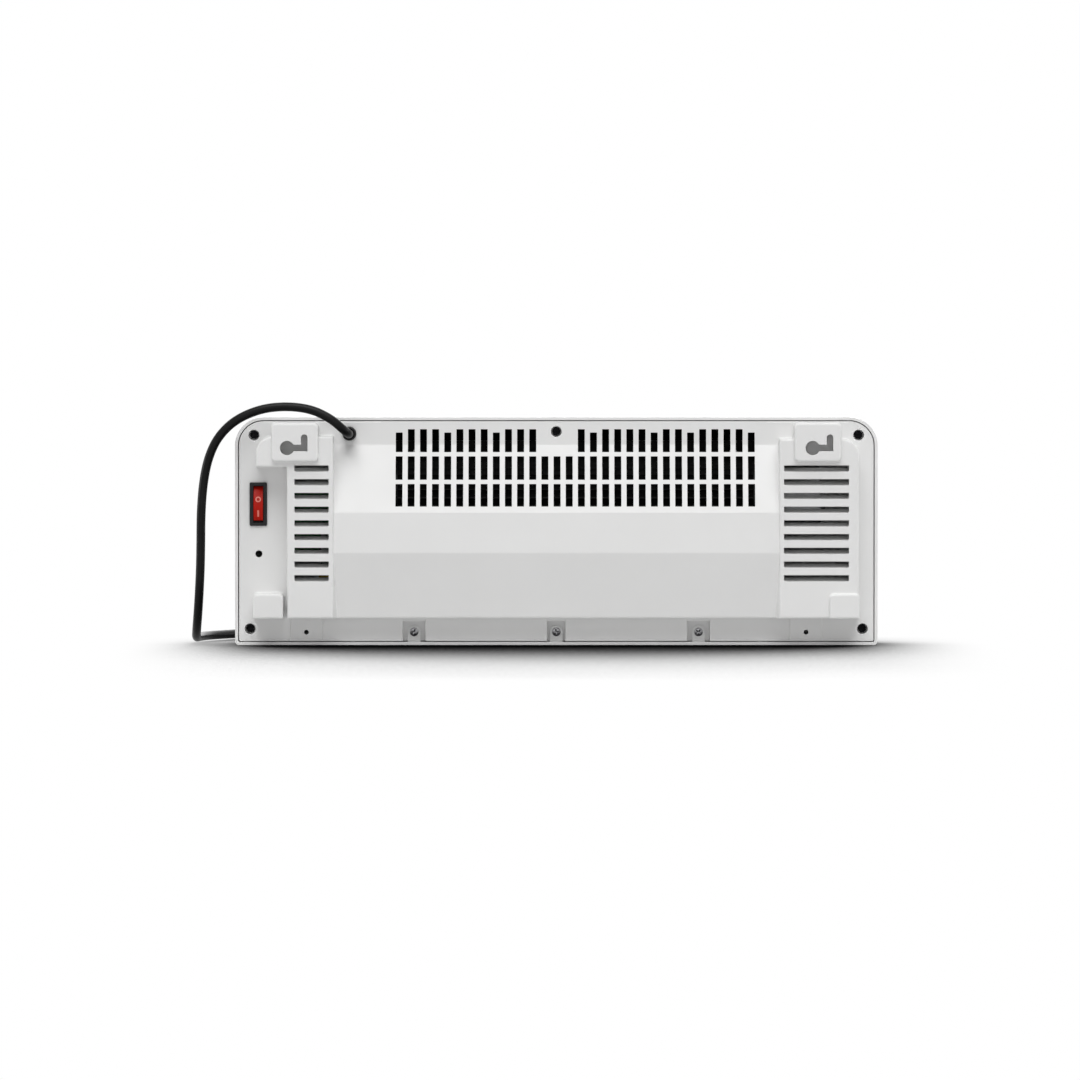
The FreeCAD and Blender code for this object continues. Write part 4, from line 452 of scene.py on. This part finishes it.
# flat spiral in and out again: the radius falls by one pitch a turn to the middle of the winding and grows
# again after it, and the line climbs one pitch in the half turn where it reverses
def coilLine(c, angle):
    rate = c["coilPitch"] / (2 * math.pi)
    middle = c["coilTurns"] * math.pi
    climb = math.pi / 2
    offset = angle - middle
    inward = np.where(abs(offset) >= climb, middle - abs(offset), middle - (offset ** 2 / climb + climb) / 2)
    radius = c["coilRadius"] - rate * inward
    part = np.clip((offset + climb) / (2 * climb), 0, 1)
    height = c["lift"] + c["diameter"] / 2 + c["coilPitch"] * part * part * (3 - 2 * part)
    return radius, height


def coilPoints(c):
    step = 2 * math.pi / c["pointsPerTurn"]
    angle = (np.arange(round(c["coilTurns"] * c["pointsPerTurn"])) + 0.5) * step
    radius, height = coilLine(c, angle)
    radius = radius / math.cos(step / 2)
    x, y = c["coilCentre"]
    return np.stack([x + radius * np.cos(angle), y - radius * np.sin(angle), height], axis=1)


def cordPoints(c):
    x, y = c["coilCentre"]
    slope = c["coilPitch"] / (2 * math.pi) / c["coilRadius"]
    low = c["lift"] + c["diameter"] / 2
    high = low + c["coilPitch"]
    into = np.array([-slope, -1, 0]) / math.hypot(slope, 1)
    away = np.array([-1, -slope, 0]) / math.hypot(slope, 1)
    start = np.array([x + c["coilRadius"], y, low]) - into * (c["diameter"] + c["lead"])
    bend = np.array([x, y - c["coilRadius"], high]) + away * (c["diameter"] + c["tailLead"])
    top = np.array([bend[0] - c["tailRise"], bend[1], c["plugAxis"]])
    end = top - np.array([c["tailEnd"], 0, 0])
    return np.concatenate([np.array(cordRoute) / 1000, [start], coilPoints(c), [bend, top, end]])


def makeCord(c):
    curve = bpy.data.curves.new("mainsCord", "CURVE")
    curve.dimensions = "3D"
    curve.bevel_depth = c["diameter"] / 2
    curve.bevel_resolution = c["roundSteps"]
    curve.use_fill_caps = True
    curve.resolution_u = c["lineSteps"]
    points = cordPoints(c)
    spline = curve.splines.new("NURBS")
    spline.points.add(len(points) - 1)
    spline.points.foreach_set("co", np.concatenate([points, np.ones((len(points), 1))], axis=1).ravel())
    spline.order_u = c["order"]
    spline.use_endpoint_u = True
    curve.materials.append(finishes["cord_black"])
    cord = bpy.data.objects.new("mainsCord", curve)
    scene.collection.objects.link(cord)
    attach(cord, "housing")
    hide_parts("cord_run", "cord_coil", "cord_tail")


makeCord(cordSizes)
print("cord laid")


# marks on the rocker: a ring and a bar laid on the crown
rockerMarks = dict(
    pivot=(0.2504, 0.0244, 0.1185), crown=0.0086, crownRadius=0.026, tilt=8.0, proud=0.00006,
    ringAt=0.0029, ringOuter=0.0024, ringInner=0.0013, ringGrid=(4, 48),
    barAt=-0.0089, barHalf=(0.00075, 0.0026), barGrid=(3, 9), ink=(0.78, 0.22, 0.17),
)


# a patch in the rocker's own plane goes onto the crown: out = crown - (R - sqrt(R^2 - z^2)), then all is tilted
def onCrown(m, x, z):
    r = m["crownRadius"]
    out = m["crown"] + m["proud"] - (r - np.sqrt(r * r - z * z))
    t = math.radians(m["tilt"])
    px, py, pz = m["pivot"]
    return np.stack([px + x, py + out * math.cos(t) - z * math.sin(t), pz + out * math.sin(t) + z * math.cos(t)], -1)


def gridFaces(rows, columns, closed=False):
    i, j = np.meshgrid(np.arange(rows - 1), np.arange(columns if closed else columns - 1), indexing="ij")
    k = (j + 1) % columns
    a, b = i * columns + j, i * columns + k
    return np.stack([a, b, b + columns, a + columns], -1).reshape(-1, 4)


def addSurface(name, points, faces, material, body, toward=None):
    mesh = bpy.data.meshes.new(name)
    mesh.from_pydata(points.reshape(-1, 3).tolist(), [], faces.tolist())
    mesh.materials.append(material)
    mesh.update()
    if toward is not None and sum(p.normal.dot(Vector(toward)) for p in mesh.polygons) < 0:
        mesh.flip_normals()
    mesh.shade_smooth()
    piece = bpy.data.objects.new(name, mesh)
    scene.collection.objects.link(piece)
    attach(piece, body)
    return piece


closedSkin = dict(merge=1e-7, sliver=1e-8, sharpAngle=40.0)


# a closed skin: its poles are merged, its faces turned outwards and its hard edges kept
def addSolid(name, points, faces, material, body):
    piece = addSurface(name, points, faces, material, body)
    work = bmesh.new()
    work.from_mesh(piece.data)
    bmesh.ops.remove_doubles(work, verts=work.verts, dist=closedSkin["merge"])
    bmesh.ops.dissolve_degenerate(work, edges=work.edges, dist=closedSkin["sliver"])
    bmesh.ops.recalc_face_normals(work, faces=work.faces)
    work.to_mesh(piece.data)
    work.free()
    piece.data.set_sharp_from_angle(angle=math.radians(closedSkin["sharpAngle"]))
    return piece


def makeRockerMarks(m):
    ink = glossSkin("rockerInk", m["ink"], 0.35, 0.1, 0.05)
    rows, columns = m["ringGrid"]
    turn = np.linspace(0, 2 * math.pi, columns, endpoint=False)
    reach = np.linspace(m["ringInner"], m["ringOuter"], rows)[:, None]
    ring = onCrown(m, reach * np.cos(turn), m["ringAt"] + reach * np.sin(turn))
    addSurface("rockerRing", ring, gridFaces(rows, columns, True), ink, "rocker", (0, 1, 0))
    rows, columns = m["barGrid"]
    u, v = np.meshgrid(np.linspace(-1, 1, rows), np.linspace(-1, 1, columns), indexing="ij")
    bar = onCrown(m, u * m["barHalf"][0], m["barAt"] + v * m["barHalf"][1])
    addSurface("rockerBar", bar, gridFaces(rows, columns), ink, "rocker", (0, 1, 0))


makeRockerMarks(rockerMarks)
print("rocker marked")


# screws in the lugs: pan heads with a cross recess, each turned as it was driven home
lugScrews = dict(
    places=((0.1196, 20.0), (0.0, -12.0), (-0.1196, 38.0)), height=0.0108, seat=0.0253, columns=96, rings=36,
    headRadius=0.0036, headHeight=0.0023, dome=0.0007, rim=0.0006, rimPoints=7,
    shankRadius=0.0015, shankLength=0.011, tip=0.002,
    crossDepth=0.0014, crossReach=0.0025, crossWide=0.0013, crossNarrow=0.0008, crossWall=0.00022,
)


# revolved skin: a dome falling with the square of the radius, a quarter-round rim, the flat under the head, the
# shank and its tip; the recess is sunk into the dome where the smaller of |u|, |v| is inside the arm's half width
def screwSkin(s):
    turn = np.linspace(0, 2 * math.pi, s["columns"], endpoint=False)
    flat = s["headRadius"] - s["rim"]
    r = np.linspace(0, flat, s["rings"])
    top = s["headHeight"] - s["dome"] * (r / s["headRadius"]) ** 2
    a = np.linspace(0, math.pi / 2, s["rimPoints"])[1:]
    rimR = flat + s["rim"] * np.sin(a)
    rimH = top[-1] - s["rim"] * (1 - np.cos(a))
    shank, length = s["shankRadius"], s["shankLength"]
    below = [(s["headRadius"], 0), (shank, 0), (shank, s["tip"] - length), (0, -length)]
    radius = np.concatenate([r, rimR, [p[0] for p in below]])
    level = np.concatenate([top, rimH, [p[1] for p in below]])
    u, v = radius[:, None] * np.cos(turn), radius[:, None] * np.sin(turn)
    along, across = np.maximum(abs(u), abs(v)), np.minimum(abs(u), abs(v))
    half = (s["crossWide"] + (s["crossNarrow"] - s["crossWide"]) * along / s["crossReach"]) / 2
    inside = np.clip((half - across) / s["crossWall"] + 0.5, 0, 1)
    sunk = s["crossDepth"] * inside * np.sqrt(np.clip(1 - along / s["crossReach"], 0, 1))
    sunk[s["rings"]:] = 0
    return u, v, level[:, None] - sunk


def makeLugScrews(s):
    u, v, out = screwSkin(s)
    sets, faces = [], []
    for x, degrees in s["places"]:
        t = math.radians(degrees)
        faces.append(gridFaces(len(u), s["columns"], True) + len(sets) * u.size)
        sets.append(np.stack([x + u * math.cos(t) - v * math.sin(t), s["seat"] + out,
                              s["height"] + u * math.sin(t) + v * math.cos(t)], -1).reshape(-1, 3))
    screws = addSolid("lugScrewSet", np.concatenate(sets), np.concatenate(faces), finishes["screw_bright"],
                      "housing")
    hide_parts("lug_screws")


makeLugScrews(lugScrews)
print("lug screws set")


# lip over the head of the tongue, up under the brow on both sides of the middle post
ductLip = dict(
    centre=(-0.001, 0.1315), radius=0.0558, wall=0.002, low=0.1702, high=0.184, points=14,
    spans=((-0.1698, -0.012), (0.012, 0.1378)),
)


# both faces are arcs round the brow's centre: y = centre - sqrt(r^2 - (z - centre)^2), carried along x
def makeDuctLip(d):
    cy, cz = d["centre"]
    z = np.linspace(d["low"], d["high"], d["points"])
    near, far = (cy - np.sqrt(r * r - (z - cz) ** 2) for r in (d["radius"] - d["wall"], d["radius"]))
    loop = np.stack([np.concatenate([far, near[::-1]]), np.concatenate([z, z[::-1]])], -1)
    m = len(loop)
    j = np.arange(d["points"] - 1)
    end = np.stack([j, j + 1, m - 2 - j, m - 1 - j], -1)
    faces = np.concatenate([gridFaces(2, m, True), end, end + m])
    for n, span in enumerate(d["spans"]):
        points = np.concatenate([np.column_stack([np.full(m, x), loop]) for x in span])
        addSolid("ductLip%d" % (n + 1), points, faces, finishes["duct_black"], "housing")


makeDuctLip(ductLip)
print("duct lip laid")
